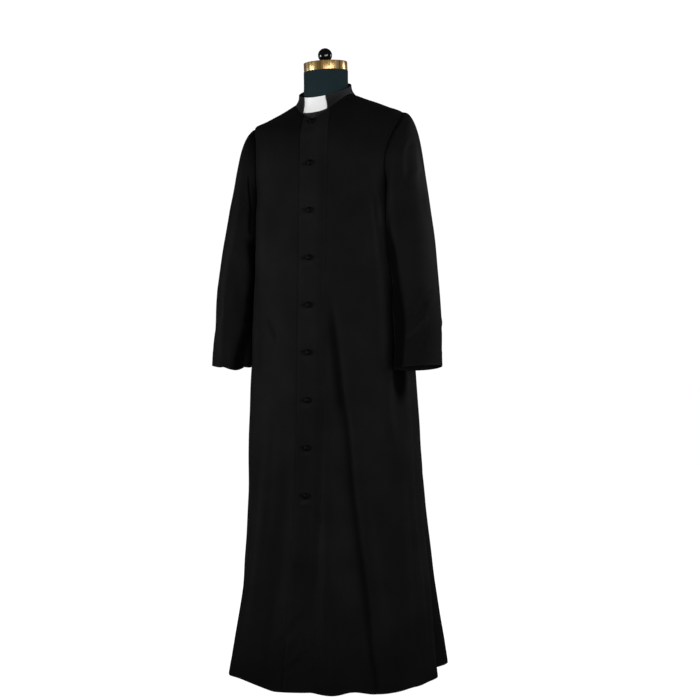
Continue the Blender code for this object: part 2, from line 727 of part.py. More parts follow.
def add_torso(parts):
    """Limbless torso with its neck, closed at the hips and under the cap."""
    heights = [FORM_BOTTOM, *(height for height in panel_heights() if height > FORM_BOTTOM + 0.02)]
    rings = [form_ring(height) for height in heights]
    for point in rings[0]:
        point.z = FORM_BOTTOM
    rings.append(neck_ring(NECK_RADIUS + 0.0012, 1.480, math.radians(16.0)))
    rings.append(neck_ring(NECK_RADIUS, 1.500, math.radians(10.0)))
    rings.append(neck_ring(NECK_RADIUS, NECK_TOP, CAP_TILT))

    def build(shape):
        grid = [[shape.verts.new(point) for point in ring] for ring in rings]
        for low, high in zip(grid, grid[1:]):
            add_strip(shape, low, high, closed=True)
        shape.faces.new(grid[0])
        shape.faces.new(grid[-1])

    return add_object("form_torso", mesh_from("form_torso", build), FORM_JERSEY, parts)


def add_cap(parts):
    """Gold band on the neck's top, and the knob on it."""
    foot = Vector((0.0, NECK_AXIS_Y, NECK_TOP + SEAM_GAP))
    placing = Matrix.Translation(foot) @ Matrix.Rotation(CAP_TILT, 4, "X")
    rim = 0.002
    band = [
        (0.0, 0.0),
        (CAP_RADIUS - 0.5 * rim, 0.0),
        (CAP_RADIUS, 0.5 * rim),
        (CAP_RADIUS, CAP_HEIGHT - rim),
        (CAP_RADIUS - rim, CAP_HEIGHT),
        (0.020, CAP_HEIGHT + 0.0015),
        (0.0, CAP_HEIGHT + 0.0015),
    ]
    turned_piece("neck_cap", band, 36, GOLD_METAL, parts, placing)
    seat = CAP_HEIGHT + 0.0015 + SEAM_GAP
    stem = 0.0085
    ball_height = seat + KNOB_RADIUS * 0.93
    knob = [(0.0, seat), (stem, seat), *arc_profile(KNOB_RADIUS, ball_height, -55, 75, 9)]
    knob.append((0.0, ball_height + KNOB_RADIUS))
    turned_piece("cap_knob", knob, 20, BLACK_GLOSS, parts, placing)


def add_stand(parts):
    bevel = 0.003
    base = [
        (0.0, 0.0),
        (BASE_RADIUS, 0.0),
        (BASE_RADIUS, BASE_HEIGHT - bevel),
        (BASE_RADIUS - bevel, BASE_HEIGHT),
        (0.0, BASE_HEIGHT),
    ]
    turned_piece("stand_base", base, 48, STAND_STEEL, parts, Matrix())
    low, high = BASE_HEIGHT + SEAM_GAP, FORM_BOTTOM - SEAM_GAP
    pole = [(0.0, low), (POLE_RADIUS, low), (POLE_RADIUS, high), (0.0, high)]
    turned_piece("stand_pole", pole, 20, STAND_STEEL, parts, Matrix())


def add_collection(name):
    collection = bpy.data.collections.new(name)
    bpy.context.scene.collection.children.link(collection)
    return collection


def main():
    for thing in list(bpy.data.objects):
        bpy.data.objects.remove(thing)
    parts = add_collection("cassock_on_dress_form")
    cutters = add_collection("cutters")
    add_panel("front_left", left_front_row, parts)
    add_panel("front_right", right_front_row, parts)
    add_panel("back", back_row, parts)
    add_front_band(parts)
    add_buttons(parts)
    add_sleeve("sleeve_left", 1, parts)
    add_sleeve("sleeve_right", -1, parts)
    add_collar(parts, cutters)
    add_tab(parts)
    add_torso(parts)
    add_cap(parts)
    add_stand(parts)


main()
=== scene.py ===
"""The looks of a plain black cassock on a limbless dress form.

Cloth panels, sleeves, collar and front band are thin shells worked out from the garment's own
section and fold tables. Buttons, buttonholes, cap and knob are modelled pieces. Metres, +Z up,
the garment's front faces -Y and the wearer's left is +X.
"""

from __future__ import annotations

import logging
import math
from collections.abc import Callable, Sequence
from dataclasses import dataclass, field, fields, replace
from enum import Enum
from typing import Any

import bpy
import numpy as np
from mathutils import Matrix, Vector

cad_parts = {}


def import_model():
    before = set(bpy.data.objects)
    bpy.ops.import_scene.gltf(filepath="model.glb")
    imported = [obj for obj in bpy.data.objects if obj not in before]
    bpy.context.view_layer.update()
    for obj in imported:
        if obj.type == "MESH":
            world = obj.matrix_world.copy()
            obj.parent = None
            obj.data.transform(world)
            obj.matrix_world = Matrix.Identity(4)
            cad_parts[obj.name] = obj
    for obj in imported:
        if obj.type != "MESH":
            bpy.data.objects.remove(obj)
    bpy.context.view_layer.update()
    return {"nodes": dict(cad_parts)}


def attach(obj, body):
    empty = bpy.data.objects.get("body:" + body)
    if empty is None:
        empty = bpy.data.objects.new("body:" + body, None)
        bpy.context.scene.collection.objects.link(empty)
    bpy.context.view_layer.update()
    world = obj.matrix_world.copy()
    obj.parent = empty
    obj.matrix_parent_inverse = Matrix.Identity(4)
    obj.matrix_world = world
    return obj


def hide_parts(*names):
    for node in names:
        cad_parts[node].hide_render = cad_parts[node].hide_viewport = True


LOG = logging.getLogger("cassock")
Array = np.ndarray
Colour = tuple[float, float, float]

# ------------------------------------------------------------------ sizes that pieces share
# the cut: heights at the side, laps and band from the centre front, armholes in degrees
WALL = 0.002
SEAM_GAP = 0.0003
LAP_LIFT = WALL + 0.0005
HEM_HEIGHT, ARMPIT_HEIGHT = 0.022, 1.188
SHOULDER_HEIGHT, NECK_HEIGHT = 1.404, 1.456
LAP_TOP, LAP_HEM = 0.029, 0.032
BAND_TOP, BAND_HEM = 0.047, 0.034
UNDERLAP = 0.020
BAND_WALL = 0.0015
BAND_OUT = LAP_LIFT + WALL + SEAM_GAP + BAND_WALL
ARMHOLE_FRONT, ARMHOLE_BACK, ARMHOLE_LOW = 17.0, 19.0, 0.80
SHOULDER_SLOPE = 0.37
SLEEVE_GAP = 0.0006
# buttons, collar, notch and tab; angles from the centre front, shares of the collar's height
BUTTON_COUNT, BUTTON_TOP = 9, 1.392
BUTTON_FIRST_GAP, BUTTON_PITCH = 0.103, 0.1165
BUTTON_RADIUS, BUTTON_DOME, BUTTON_CUT = 0.0073, 0.0042, 0.0012
COLLAR_CENTRE = (-0.0020, -0.0145, 1.4822)
COLLAR_WIDTH, COLLAR_DEPTH, COLLAR_TILT = 0.0648, 0.0677, math.radians(23.6)
COLLAR_GAP = 0.0010
NOTCH_FOOT, NOTCH_CORNER, NOTCH_ANGLE_FOOT, NOTCH_ANGLE_TOP = 0.27, 0.07, 31.0, 27.5
TAB_WALL, TAB_ANGLE, TAB_REACH = 0.0012, 44.0, (0.02, 0.985)
# the dress form
FORM_BOTTOM = 0.740
NECK_RADIUS, NECK_AXIS_Y, NECK_TOP = 0.0558, -0.0135, 1.5274
CAP_RADIUS, CAP_HEIGHT, CAP_TILT = 0.0548, 0.0225, math.radians(4.6)
KNOB_RADIUS = 0.0178
# how far one shoulder hangs lower than the other, and the turned-up hem and cuffs
LEAN, LEAN_AT, LEAN_FROM = 0.0065, 0.120, 1.050
HEM_TURN, HEM_DEPTH, CUFF_DEPTH, TURN_STEP = 0.0005, 0.030, 0.034, 0.0035
# finer rows beside an edge, and where the relief fades below the neck seam
FINE_EDGE, NECK_FADE = (0.0004, 0.0009, 0.0016, 0.0026, 0.0042), 0.030
# where a pressed edge is lighter: pressing wear and a painted highlight
PRESS_IN, PRESS_WIDTH, PRESS_SHARP = 0.0012, 0.0020, 0.001732
# banks beside a crease in its widths, the steepness that starts and fills its painted shade and highlight,
# slack
BANK_PLACE, BANK_SPREAD = 1.9, math.sqrt(0.55)
STEEP = (0.04, 0.75)
WAVE_COUNT, WAVE_SHORT, WAVE_LONG, WAVE_CROSSING = 14, 0.045, 0.190, 0.22
# painted shade, darker towards the hem
LOW_SHADE, LOW_SHADE_TOP = 0.43, 0.27


# ------------------------------------------------------------------ tables of the cut
@dataclass(frozen=True)
class BodySection:
    """One level round the garment: half width, depth before and behind the middle, and drops."""

    height: float
    width: float
    front: float
    back: float
    middle: float
    front_drop: float
    back_drop: float
    front_square: float
    back_square: float


BODY_SECTIONS = (
    BodySection(HEM_HEIGHT, 0.264, 0.188, 0.240, 0.0, 0.014, 0.0, 2.9, 2.8),
    BodySection(0.250, 0.243, 0.156, 0.209, 0.0, 0.004, 0.0, 2.5, 2.6),
    BodySection(0.450, 0.2260, 0.133, 0.196, 0.0, 0.0, 0.0, 2.5, 2.5),
    BodySection(0.600, 0.2210, 0.124, 0.165, 0.0, 0.0, 0.0, 2.6, 2.5),
    BodySection(0.760, 0.2120, 0.117, 0.146, 0.0, 0.0, 0.0, 2.7, 2.6),
    BodySection(0.860, 0.2030, 0.112, 0.136, 0.0, 0.0, 0.0, 3.0, 2.7),
    BodySection(0.960, 0.1960, 0.107, 0.125, 0.0, 0.0, 0.0, 3.3, 2.8),
    BodySection(1.090, 0.1890, 0.103, 0.121, 0.0, 0.0, 0.0, 3.6, 3.0),
    BodySection(ARMPIT_HEIGHT, 0.1890, 0.0985, 0.122, 0.0, 0.004, 0.0, 3.9, 3.2),
    BodySection(1.290, 0.1900, 0.0950, 0.121, 0.0, 0.014, 0.0, 3.5, 3.1),
    BodySection(1.360, 0.1960, 0.0920, 0.112, 0.0, 0.026, -0.004, 2.8, 2.7),
    BodySection(SHOULDER_HEIGHT, 0.2030, 0.0880, 0.098, -0.002, 0.040, -0.008, 2.35, 2.3),
    BodySection(1.420, 0.1630, 0.0800, 0.086, -0.006, 0.044, -0.010, 2.15, 2.1),
    BodySection(1.438, 0.1180, 0.0710, 0.076, -0.011, 0.050, -0.011, 2.05, 2.0),
    BodySection(NECK_HEIGHT, 0.0755, 0.0640, 0.0625, -0.0145, 0.056, -0.012, 2.0, 2.0),
)


@dataclass(frozen=True)
class Fold:
    """A long fold: its line round the body from top to low end, its heights and its size.

    It starts at top, is full at full, begins to fade at fade and has gone at end.
    """

    top_angle: float
    low_angle: float
    top: float
    full: float
    depth: float
    spread: float
    fade: float = -1.0
    end: float = -2.0


FOLDS = (
    # wearer's left front
    Fold(27.0, 51.0, 1.000, 0.620, -0.012, 7.0),
    Fold(43.0, 62.0, 0.850, 0.250, 0.010, 8.0),
    Fold(19.0, 26.0, 0.720, 0.120, 0.012, 8.0),
    Fold(8.0, 10.0, 0.420, 0.080, -0.008, 6.0),
    Fold(60.0, 57.0, 1.280, 1.170, 0.005, 8.0, 1.060, 0.900),
    Fold(77.0, 77.0, 0.860, 0.780, -0.010, 6.0, 0.680, 0.560),
    # wearer's left side and back
    Fold(94.0, 98.0, 0.520, 0.100, 0.012, 8.0),
    Fold(106.0, 106.0, 0.330, 0.060, -0.015, 15.0),
    Fold(112.0, 117.0, 0.600, 0.080, -0.030, 8.5),
    Fold(136.0, 135.0, 0.850, 0.150, 0.024, 11.0),
    Fold(160.0, 158.0, 0.900, 0.300, -0.020, 9.0),
    Fold(176.0, 175.0, 0.800, 0.200, 0.014, 8.0),
    # wearer's right front
    Fold(-6.0, -9.0, 0.500, 0.060, 0.010, 9.0),
    Fold(-24.0, -26.0, 0.700, 0.250, -0.006, 8.0),
    Fold(-44.0, -47.0, 0.800, 0.200, 0.014, 10.0),
    Fold(-66.0, -72.0, 0.640, 0.200, -0.010, 8.0),
    Fold(-60.0, -57.0, 1.280, 1.170, 0.006, 8.0, 1.060, 0.900),
    # wearer's right side and back
    Fold(-92.0, -96.0, 0.560, 0.150, 0.011, 8.0),
    Fold(-112.0, -116.0, 0.620, 0.100, -0.026, 9.0),
    Fold(-134.0, -137.0, 0.820, 0.180, 0.020, 11.0),
    Fold(-161.0, -162.0, 0.860, 0.260, -0.016, 8.0),
    # where the sleeves lie against the sides
    *(Fold(side, side, 1.300, 1.190, -0.018, 21.0, 1.130, 0.960) for side in (90.0, -90.0)),
)


# Where the hem hangs higher (rise over 0) or lower: angle and spread in degrees, rise in metres.
HEM_SWAYS = (
    (-45.0, 9.0, 0.008),
    (-23.0, 11.0, -0.0085),
    (39.0, 7.0, 0.007),
    (52.0, 5.0, -0.003),
    (67.0, 9.0, 0.005),
)


@dataclass(frozen=True)
class SleeveSection:
    """One ring of a sleeve: its two ends across the arm, y, half depth and turn in degrees.

    own is 0 where the ring follows the armhole and 1 where it keeps its own shape.
    """

    along: float
    outer_x: float
    outer_z: float
    inner_x: float
    inner_z: float
    middle: float
    depth: float
    turn: float
    own: float


SLEEVE_SECTIONS = (
    SleeveSection(0.000, 0.2050, 1.4050, 0.1735, 1.1880, 0.000, 0.058, 0.0, 0.0),
    SleeveSection(0.035, 0.2190, 1.4030, 0.1745, 1.1760, -0.001, 0.062, 0.0, 0.35),
    SleeveSection(0.075, 0.2300, 1.3900, 0.1755, 1.1640, -0.002, 0.067, 1.0, 0.70),
    SleeveSection(0.140, 0.2400, 1.3530, 0.1770, 1.1440, -0.005, 0.072, 2.0, 1.0),
    SleeveSection(0.250, 0.2530, 1.2800, 0.1800, 1.1080, -0.011, 0.076, 4.0, 1.0),
    SleeveSection(0.400, 0.2720, 1.1830, 0.1860, 1.0570, -0.019, 0.076, 6.0, 1.0),
    SleeveSection(0.550, 0.2880, 1.0850, 0.1960, 1.0030, -0.029, 0.075, 8.0, 1.0),
    SleeveSection(0.750, 0.3015, 0.9520, 0.2070, 0.9080, -0.041, 0.075, 10.0, 1.0),
    SleeveSection(1.000, 0.3095, 0.7930, 0.2150, 0.7800, -0.049, 0.075, 10.0, 1.0),
)


@dataclass(frozen=True)
class SleeveFold:
    """A soft fold on a sleeve: angle 0 is outside, 90 front and 180 inside.

    Its line passes the angle at along and turns by skew degrees over the sleeve's length.
    """

    along: float
    angle: float
    skew: float
    depth: float
    length: float
    spread: float


SLEEVE_FOLDS = (
    SleeveFold(0.60, 130.0, 160.0, -0.006, 0.110, 24.0),
    SleeveFold(0.72, 95.0, -140.0, 0.004, 0.090, 22.0),
    SleeveFold(0.80, 60.0, -260.0, -0.005, 0.090, 20.0),
    SleeveFold(0.90, 150.0, 120.0, -0.006, 0.110, 24.0),
    SleeveFold(0.45, 200.0, 60.0, -0.005, 0.120, 30.0),
    SleeveFold(0.66, 270.0, 150.0, -0.005, 0.120, 24.0),
    SleeveFold(0.86, 300.0, -120.0, 0.004, 0.100, 24.0),
)


@dataclass(frozen=True)
class FormLevel:
    """How far the dress form lies inside the cloth at one height."""

    height: float
    clear: float


FORM_LEVELS = (
    FormLevel(FORM_BOTTOM, 0.028),
    FormLevel(0.960, 0.018),
    FormLevel(ARMPIT_HEIGHT, 0.011),
    FormLevel(1.290, 0.009),
    FormLevel(1.375, 0.004),
    FormLevel(SHOULDER_HEIGHT, 0.0016),
    FormLevel(1.420, 0.0014),
    FormLevel(1.436, 0.0014),
    FormLevel(1.448, 0.0050),
    FormLevel(NECK_HEIGHT, 0.0125),
)


@dataclass(frozen=True)
class Crease:
    """A soft trough (depth under 0) or ridge along a line of places on the cloth.

    A place is (run, rise): metres round the cloth from its reference line, and metres up it.
    The banks beside the line stand the other way by the share bank of the depth, and the
    crease fades over the share blunt of its length at each end. shade says how strongly it
    shows as painted shade in a trough and as a painted highlight on a ridge, for its depth.
    """

    depth: float
    width: float
    line: tuple[tuple[float, float], ...]
    bank: float = 0.30
    blunt: float = 0.22
    shade: float = 1.0


# Runs are from the centre front, over 0 to the wearer's left; rises are heights.
LEFT_FRONT_CREASES = (
    # the long fold down from the waist, sharp in its middle, with painted shade that is strongest in its
    # upper part, and the swells beside it
    Crease(
        -0.0066, 0.0135,
        (
            (0.056, 0.985), (0.059, 0.900), (0.070, 0.808), (0.083, 0.706), (0.100, 0.636),
            (0.112, 0.525), (0.124, 0.440), (0.143, 0.343), (0.159, 0.271), (0.175, 0.189),
            (0.192, 0.098), (0.208, 0.030), (0.292, -0.420),
        ),
        0.0, 0.20, 0.95,
    ),
    Crease(
        -0.0010, 0.0150,
        ((0.057, 0.985), (0.060, 0.900), (0.071, 0.808), (0.084, 0.706), (0.105, 0.590)),
        0.0, 0.30, 7.5,
    ),
    Crease(0.0026, 0.030, ((0.150, 0.620), (0.162, 0.500), (0.200, 0.310), (0.262, 0.120)), 0.0),
    Crease(-0.0024, 0.016, ((0.262, 0.560), (0.288, 0.400), (0.312, 0.200), (0.330, 0.060)), 0.2),
    # the side filled out beside the sleeve with a painted highlight, a painted dark strip where it turns
    # away, and the sleeve's shadow painted on the side under the cuff
    Crease(
        0.0060, 0.022,
        ((0.196, 1.230), (0.202, 1.060), (0.204, 0.950), (0.208, 0.850), (0.214, 0.740)),
        0.0, 0.2, 6.0,
    ),
    Crease(
        -0.0020, 0.012,
        ((0.228, 1.110), (0.230, 1.000), (0.234, 0.900), (0.244, 0.790)),
        0.0, 0.15, 8.0,
    ),
    Crease(
        -0.0040, 0.0210,
        ((0.228, 0.900), (0.240, 0.790), (0.247, 0.720), (0.251, 0.672)),
        0.0, 0.42, 6.5,
    ),
    # drawn from the armpit down the side
    Crease(0.0034, 0.0075, ((0.156, 1.222), (0.162, 1.165), (0.172, 1.092), (0.177, 1.030)), 0.5),
    Crease(0.0016, 0.010, ((0.185, 1.190), (0.193, 1.120), (0.196, 1.050)), 0.2),
    Crease(-0.0012, 0.012, ((0.140, 1.300), (0.150, 1.240), (0.152, 1.170)), 0.2),
    # crumpled cloth below the last button, with painted shade and highlight
    Crease(0.0008, 0.0060, ((-0.024, 0.486), (-0.004, 0.478), (0.018, 0.482)), 0.3, 0.3, 1.6),
    Crease(-0.0010, 0.0070, ((-0.026, 0.456), (-0.008, 0.464), (0.010, 0.472)), 0.3, 0.3, 2.0),
    Crease(0.0008, 0.0060, ((-0.018, 0.448), (0.012, 0.456), (0.034, 0.442)), 0.3, 0.3, 1.6),
    Crease(-0.0009, 0.0060, ((0.022, 0.440), (0.036, 0.424), (0.046, 0.402)), 0.3, 0.3, 2.0),
    Crease(-0.0009, 0.0070, ((-0.024, 0.416), (0.002, 0.408), (0.020, 0.396)), 0.3, 0.3, 1.6),
    Crease(-0.0010, 0.0120, ((-0.024, 0.372), (0.000, 0.366), (0.022, 0.352)), 0.1, 0.3, 2.0),
    Crease(-0.0030, 0.0150, ((-0.022, 0.318), (-0.010, 0.285), (0.004, 0.248)), 0.2, 0.22, 0.8),
    Crease(-0.0022, 0.0090, ((-0.046, 0.130), (-0.026, 0.150), (-0.008, 0.174), (0.012, 0.200)), 0.3),
    Crease(0.0012, 0.0080, ((-0.020, 0.186), (-0.004, 0.206), (0.010, 0.226)), 0.2),
    Crease(
        0.0014, 0.0060,
        ((-0.018, 0.082), (-0.006, 0.106), (0.008, 0.121), (0.024, 0.119), (0.038, 0.098)), 0.5,
    ),
    Crease(-0.0018, 0.0080, ((-0.044, 0.064), (-0.020, 0.072), (0.006, 0.098)), 0.3),
    Crease(
        -0.0030, 0.0090,
        ((0.072, 0.290), (0.077, 0.220), (0.082, 0.140), (0.090, 0.024)),
        0.35, 0.22, 0.3,
    ),
    Crease(-0.0016, 0.0080, ((0.036, 0.062), (0.050, 0.080), (0.060, 0.110)), 0.4),
)
# From the centre front, under 0 to the wearer's right.
RIGHT_FRONT_CREASES = (
    # the side filled out beside the sleeve, with a painted highlight
    Crease(
        0.0022, 0.018,
        ((-0.184, 1.210), (-0.184, 1.060), (-0.182, 0.900), (-0.182, 0.740)),
        0.0, 0.2, 6.0,
    ),
    Crease(-0.0016, 0.0055, ((-0.132, 0.915), (-0.110, 0.880), (-0.092, 0.850)), 0.5),
    Crease(-0.0014, 0.0100, ((-0.196, 1.180), (-0.188, 1.060), (-0.190, 0.940)), 0.2),
    Crease(0.0018, 0.0100, ((-0.166, 1.215), (-0.168, 1.120), (-0.174, 1.020)), 0.2),
    Crease(-0.0018, 0.0140, ((-0.100, 0.700), (-0.108, 0.520), (-0.116, 0.330)), 0.1),
    Crease(-0.0018, 0.0150, ((-0.166, 0.640), (-0.180, 0.440), (-0.196, 0.220), (-0.204, 0.050)), 0.1),
    Crease(0.0022, 0.0160, ((-0.140, 0.560), (-0.146, 0.360), (-0.158, 0.120)), 0.1),
    Crease(-0.0022, 0.0090, ((-0.088, 0.260), (-0.094, 0.150), (-0.104, 0.030)), 0.3),
    Crease(-0.0022, 0.0080, ((-0.078, 0.112), (-0.062, 0.128), (-0.044, 0.146)), 0.5),
    Crease(-0.0016, 0.0160, ((-0.252, 0.600), (-0.268, 0.380), (-0.290, 0.150)), 0.1),
)
# From the centre back, over 0 to the wearer's right.
BACK_CREASES = (
    Crease(
        -0.0032, 0.0110,
        ((0.030, 0.860), (0.036, 0.640), (0.040, 0.400), (0.058, 0.120)),
        0.35, 0.3,
    ),
    Crease(
        -0.0028, 0.0100,
        ((-0.064, 0.930), (-0.074, 0.700), (-0.098, 0.420), (-0.112, 0.080)),
        0.35, 0.3,
    ),
    Crease(0.0024, 0.0200, ((-0.024, 0.700), (-0.028, 0.450), (-0.030, 0.150)), 0.1, 0.3),
    Crease(-0.0026, 0.0130, ((0.128, 0.780), (0.146, 0.540), (0.170, 0.240), (0.184, 0.040)), 0.3, 0.3),
    Crease(-0.0030, 0.0120, ((-0.182, 0.700), (-0.206, 0.440), (-0.236, 0.100)), 0.3, 0.3),
    Crease(-0.0024, 0.0120, ((0.236, 0.640), (0.262, 0.400), (0.300, 0.110)), 0.3, 0.3),
    Crease(-0.0022, 0.0100, ((-0.284, 0.560), (-0.322, 0.260), (-0.340, 0.060)), 0.3, 0.3),
    Crease(-0.0018, 0.0090, ((0.150, 1.250), (0.118, 1.150), (0.100, 1.030)), 0.4),
    Crease(-0.0016, 0.0090, ((-0.156, 1.230), (-0.128, 1.130), (-0.112, 0.990)), 0.4),
    Crease(0.0018, 0.0120, ((0.060, 1.260), (0.056, 1.120), (0.050, 0.960)), 0.2),
    Crease(-0.0014, 0.0080, ((-0.070, 1.080), (-0.020, 1.056), (0.040, 1.070)), 0.4),
    Crease(-0.0013, 0.0070, ((-0.040, 0.985), (0.016, 0.968), (0.074, 0.990)), 0.4),
)
# Runs are round the sleeve from its outside forwards; rises are metres down from the shoulder.
LEFT_SLEEVE_CREASES = (
    Crease(-0.0030, 0.0140, ((0.024, 0.095), (0.032, 0.135), (0.036, 0.185)), 0.5),
    Crease(0.0016, 0.0100, ((0.058, 0.060), (0.062, 0.120), (0.058, 0.190)), 0.2),
    Crease(0.0024, 0.0110, ((-0.022, 0.120), (-0.014, 0.200), (-0.008, 0.300)), 0.2, 0.3),
    # a broad painted highlight over the sleeve's top
    Crease(0.0016, 0.0300, ((0.030, 0.080), (0.010, 0.160), (-0.010, 0.260)), 0.0, 0.35, 14.0),
    Crease(0.0012, 0.0110, ((0.060, 0.340), (0.056, 0.440), (0.050, 0.520), (0.062, 0.640)), 0.0, 0.3),
    # painted shade over the sleeve's front beside the body
    Crease(
        -0.0045, 0.0250,
        (
            (0.138, 0.100), (0.134, 0.240), (0.122, 0.370), (0.111, 0.450), (0.106, 0.530),
            (0.114, 0.600), (0.124, 0.820),
        ),
        0.0, 0.36, 8.0,
    ),
    Crease(
        -0.0034, 0.0090,
        ((0.084, 0.506), (0.050, 0.482), (0.016, 0.466), (-0.016, 0.452)),
        0.5, 0.3, 0.5,
    ),
    Crease(0.0036, 0.0090, ((0.087, 0.556), (0.060, 0.541), (0.038, 0.522), (0.014, 0.505)), 0.4),
    Crease(-0.0022, 0.0080, ((0.080, 0.596), (0.050, 0.580), (0.022, 0.566)), 0.4),
    Crease(-0.0022, 0.0080, ((0.020, 0.470), (0.040, 0.500), (0.046, 0.530)), 0.3),
    Crease(-0.0026, 0.0100, ((0.190, 0.300), (0.220, 0.360), (0.246, 0.380)), 0.4),
    Crease(-0.0028, 0.0090, ((0.270, 0.420), (0.306, 0.450), (0.344, 0.446)), 0.4),
    Crease(0.0022, 0.0090, ((0.280, 0.500), (0.316, 0.520), (0.350, 0.506)), 0.3),
    Crease(-0.0020, 0.0100, ((0.330, 0.150), (0.322, 0.250), (0.312, 0.340)), 0.3),
)
RIGHT_SLEEVE_CREASES = (
    # turned in beside the body, painted dark, with a ragged edge of small folds above the cuff
    Crease(
        -0.0012, 0.007,
        ((0.092, 0.026), (0.130, 0.085), (0.136, 0.140), (0.142, 0.200)),
        0.0, 0.2, 4.0,
    ),
    Crease(
        -0.0034, 0.022,
        (
            (0.154, 0.165), (0.158, 0.230), (0.180, 0.320), (0.181, 0.420), (0.176, 0.500),
            (0.165, 0.555), (0.156, 0.600), (0.154, 0.700),
        ),
        0.0, 0.12, 5.6,
    ),
    Crease(-0.0024, 0.0100, ((0.142, 0.200), (0.148, 0.262)), 0.0, 0.35, 2.2),
    Crease(-0.0030, 0.0100, ((0.160, 0.405), (0.190, 0.412)), 0.4, 0.35, 4.0),
    Crease(-0.0034, 0.0110, ((0.156, 0.465), (0.190, 0.468)), 0.4, 0.35, 4.0),
    Crease(-0.0034, 0.0110, ((0.152, 0.520), (0.190, 0.524)), 0.4, 0.35, 4.0),
    Crease(-0.0034, 0.0120, ((0.142, 0.556), (0.190, 0.558)), 0.4, 0.30, 4.0),
    Crease(-0.0034, 0.0130, ((0.134, 0.594), (0.184, 0.594)), 0.4, 0.30, 4.0),
    # a broad painted highlight over the sleeve's front
    Crease(0.0012, 0.0360, ((0.096, 0.180), (0.088, 0.340), (0.086, 0.600)), 0.0, 0.35, 11.0),
    Crease(0.0014, 0.0120, ((0.104, 0.160), (0.100, 0.280), (0.096, 0.400)), 0.2),
    Crease(-0.0018, 0.0100, ((0.044, 0.400), (0.070, 0.440), (0.084, 0.500)), 0.3),
    Crease(-0.0026, 0.0100, ((0.230, 0.340), (0.266, 0.380), (0.304, 0.376)), 0.4),
    Crease(-0.0024, 0.0090, ((0.300, 0.460), (0.336, 0.480), (0.366, 0.470)), 0.4),
    Crease(-0.0018, 0.0100, ((0.020, 0.110), (0.014, 0.190), (0.010, 0.260)), 0.3),
)
# Gathers along the panels' seams: length, share of the height, wander and its turns a metre.
PUCKERS = ((0.031, 1.0, 1.7, 23.0), (0.019, 0.6, 2.0, 11.0))
# Where a cuff's edge hangs higher (lift over 0) or lower: run round the sleeve, width, lift.
LEFT_CUFF = ((0.010, 0.060, -0.0020), (0.275, 0.080, -0.0075))
RIGHT_CUFF = ((0.215, 0.032, 0.040), (0.146, 0.022, -0.003), (0.108, 0.010, 0.0025))
# The form's neck, ring by ring: how far it swells past its radius, height, tilt in degrees.
NECK_LEVELS = (
    (0.0012, 1.480, 16.0),
    (0.0002, 1.492, 12.5),
    (0.0, 1.502, 10.0),
    (0.0, 1.514, 8.4),
    (0.0, NECK_TOP, math.degrees(CAP_TILT)),
)


# ------------------------------------------------------------------ small maths
def ease(value: Array | float, start: Array | float, finish: Array | float) -> Array:
    """Goes smoothly from 0 at start to 1 at finish."""
    t = np.clip((np.asarray(value, float) - start) / (finish - start), 0.0, 1.0)
    return t * t * (3 - 2 * t)


def bell(offset: Any, width: float) -> Any:
    """1 where the offset is 0, about a third at the width and nearly 0 at twice the width."""
    return np.exp(-((offset / width) ** 2))


def mix(first: Any, second: Any, share: Any) -> Any:
    """The value that lies this share of the way from first to second."""
    return first + (second - first) * share


def unit(vectors: Array) -> Array:
    """The vectors at length 1."""
    return vectors / np.maximum(np.linalg.norm(vectors, axis=-1, keepdims=True), 1e-12)


def angle_between(angle: Array | float, line: Array | float) -> Array:
    """Degrees from a line to an angle, from -180 to 180."""
    return (np.asarray(angle, float) - line + 180.0) % 360.0 - 180.0


def edge_steps(length: float, step: float, fine: Sequence[float], ends: tuple[bool, bool]) -> Array:
    """Places from 0 to length, a step apart, with finer ones at the ends that ask for them.

    Args:
        length: the whole run.
        step: distance between places away from the ends.
        fine: distances from an end of its finer places.
        ends: whether the first and the last end get them.

    Returns:
        The places in order, 0 and length among them.
    """
    first = [distance for distance in fine if ends[0]]
    last = [length - distance for distance in reversed(fine) if ends[1]]
    start = first[-1] if first else 0.0
    stop = last[0] if last else length
    count = max(2, round((stop - start) / step))
    middle = np.linspace(start, stop, count + 1)
    return np.unique(np.concatenate(([0.0], first, middle, last, [length])))


class Curves:
    """Smooth curves through the columns of a table that never swing past its rows."""

    def __init__(self, rows: Sequence[Any]) -> None:
        """Reads the rows' dataclass fields; the first one is the place along the curves.

        Args:
            rows: the table's rows, in order of their first field.
        """
        names = [item.name for item in fields(rows[0])]
        self.columns = {name: np.array([getattr(row, name) for row in rows]) for name in names}
        self.knots = self.columns[names[0]]
        self.spans = np.diff(self.knots)
        self.slopes = {name: self._slopes(column) for name, column in self.columns.items()}

    def _slopes(self, column: Array) -> Array:
        """Slopes at the knots, 0 where the column turns back.

        Args:
            column: the column's values at the knots.

        Returns:
            The slopes.
        """
        rises = np.diff(column) / self.spans
        slopes = np.zeros(len(column))
        before, after = rises[:-1], rises[1:]
        same = before * after > 0
        total = np.where(same, before + after, 1.0)
        slopes[1:-1] = np.where(same, 2 * before * after / total, 0.0)
        slopes[0], slopes[-1] = rises[0], rises[-1]
        return slopes

    def read(self, name: str, at: Array | float) -> Array:
        """Values of one column.

        Args:
            name: the column's field name.
            at: places along the table.

        Returns:
            The column's value at each place.
        """
        at = np.clip(np.asarray(at, float), self.knots[0], self.knots[-1])
        row = np.clip(np.searchsorted(self.knots, at, side="right") - 1, 0, len(self.spans) - 1)
        span, column, slopes = self.spans[row], self.columns[name], self.slopes[name]
        t = (at - self.knots[row]) / span
        return (
            (1 + 2 * t) * (1 - t) ** 2 * column[row]
            + t * (1 - t) ** 2 * span * slopes[row]
            + t * t * (3 - 2 * t) * column[row + 1]
            - t * t * (1 - t) * span * slopes[row + 1]
        )


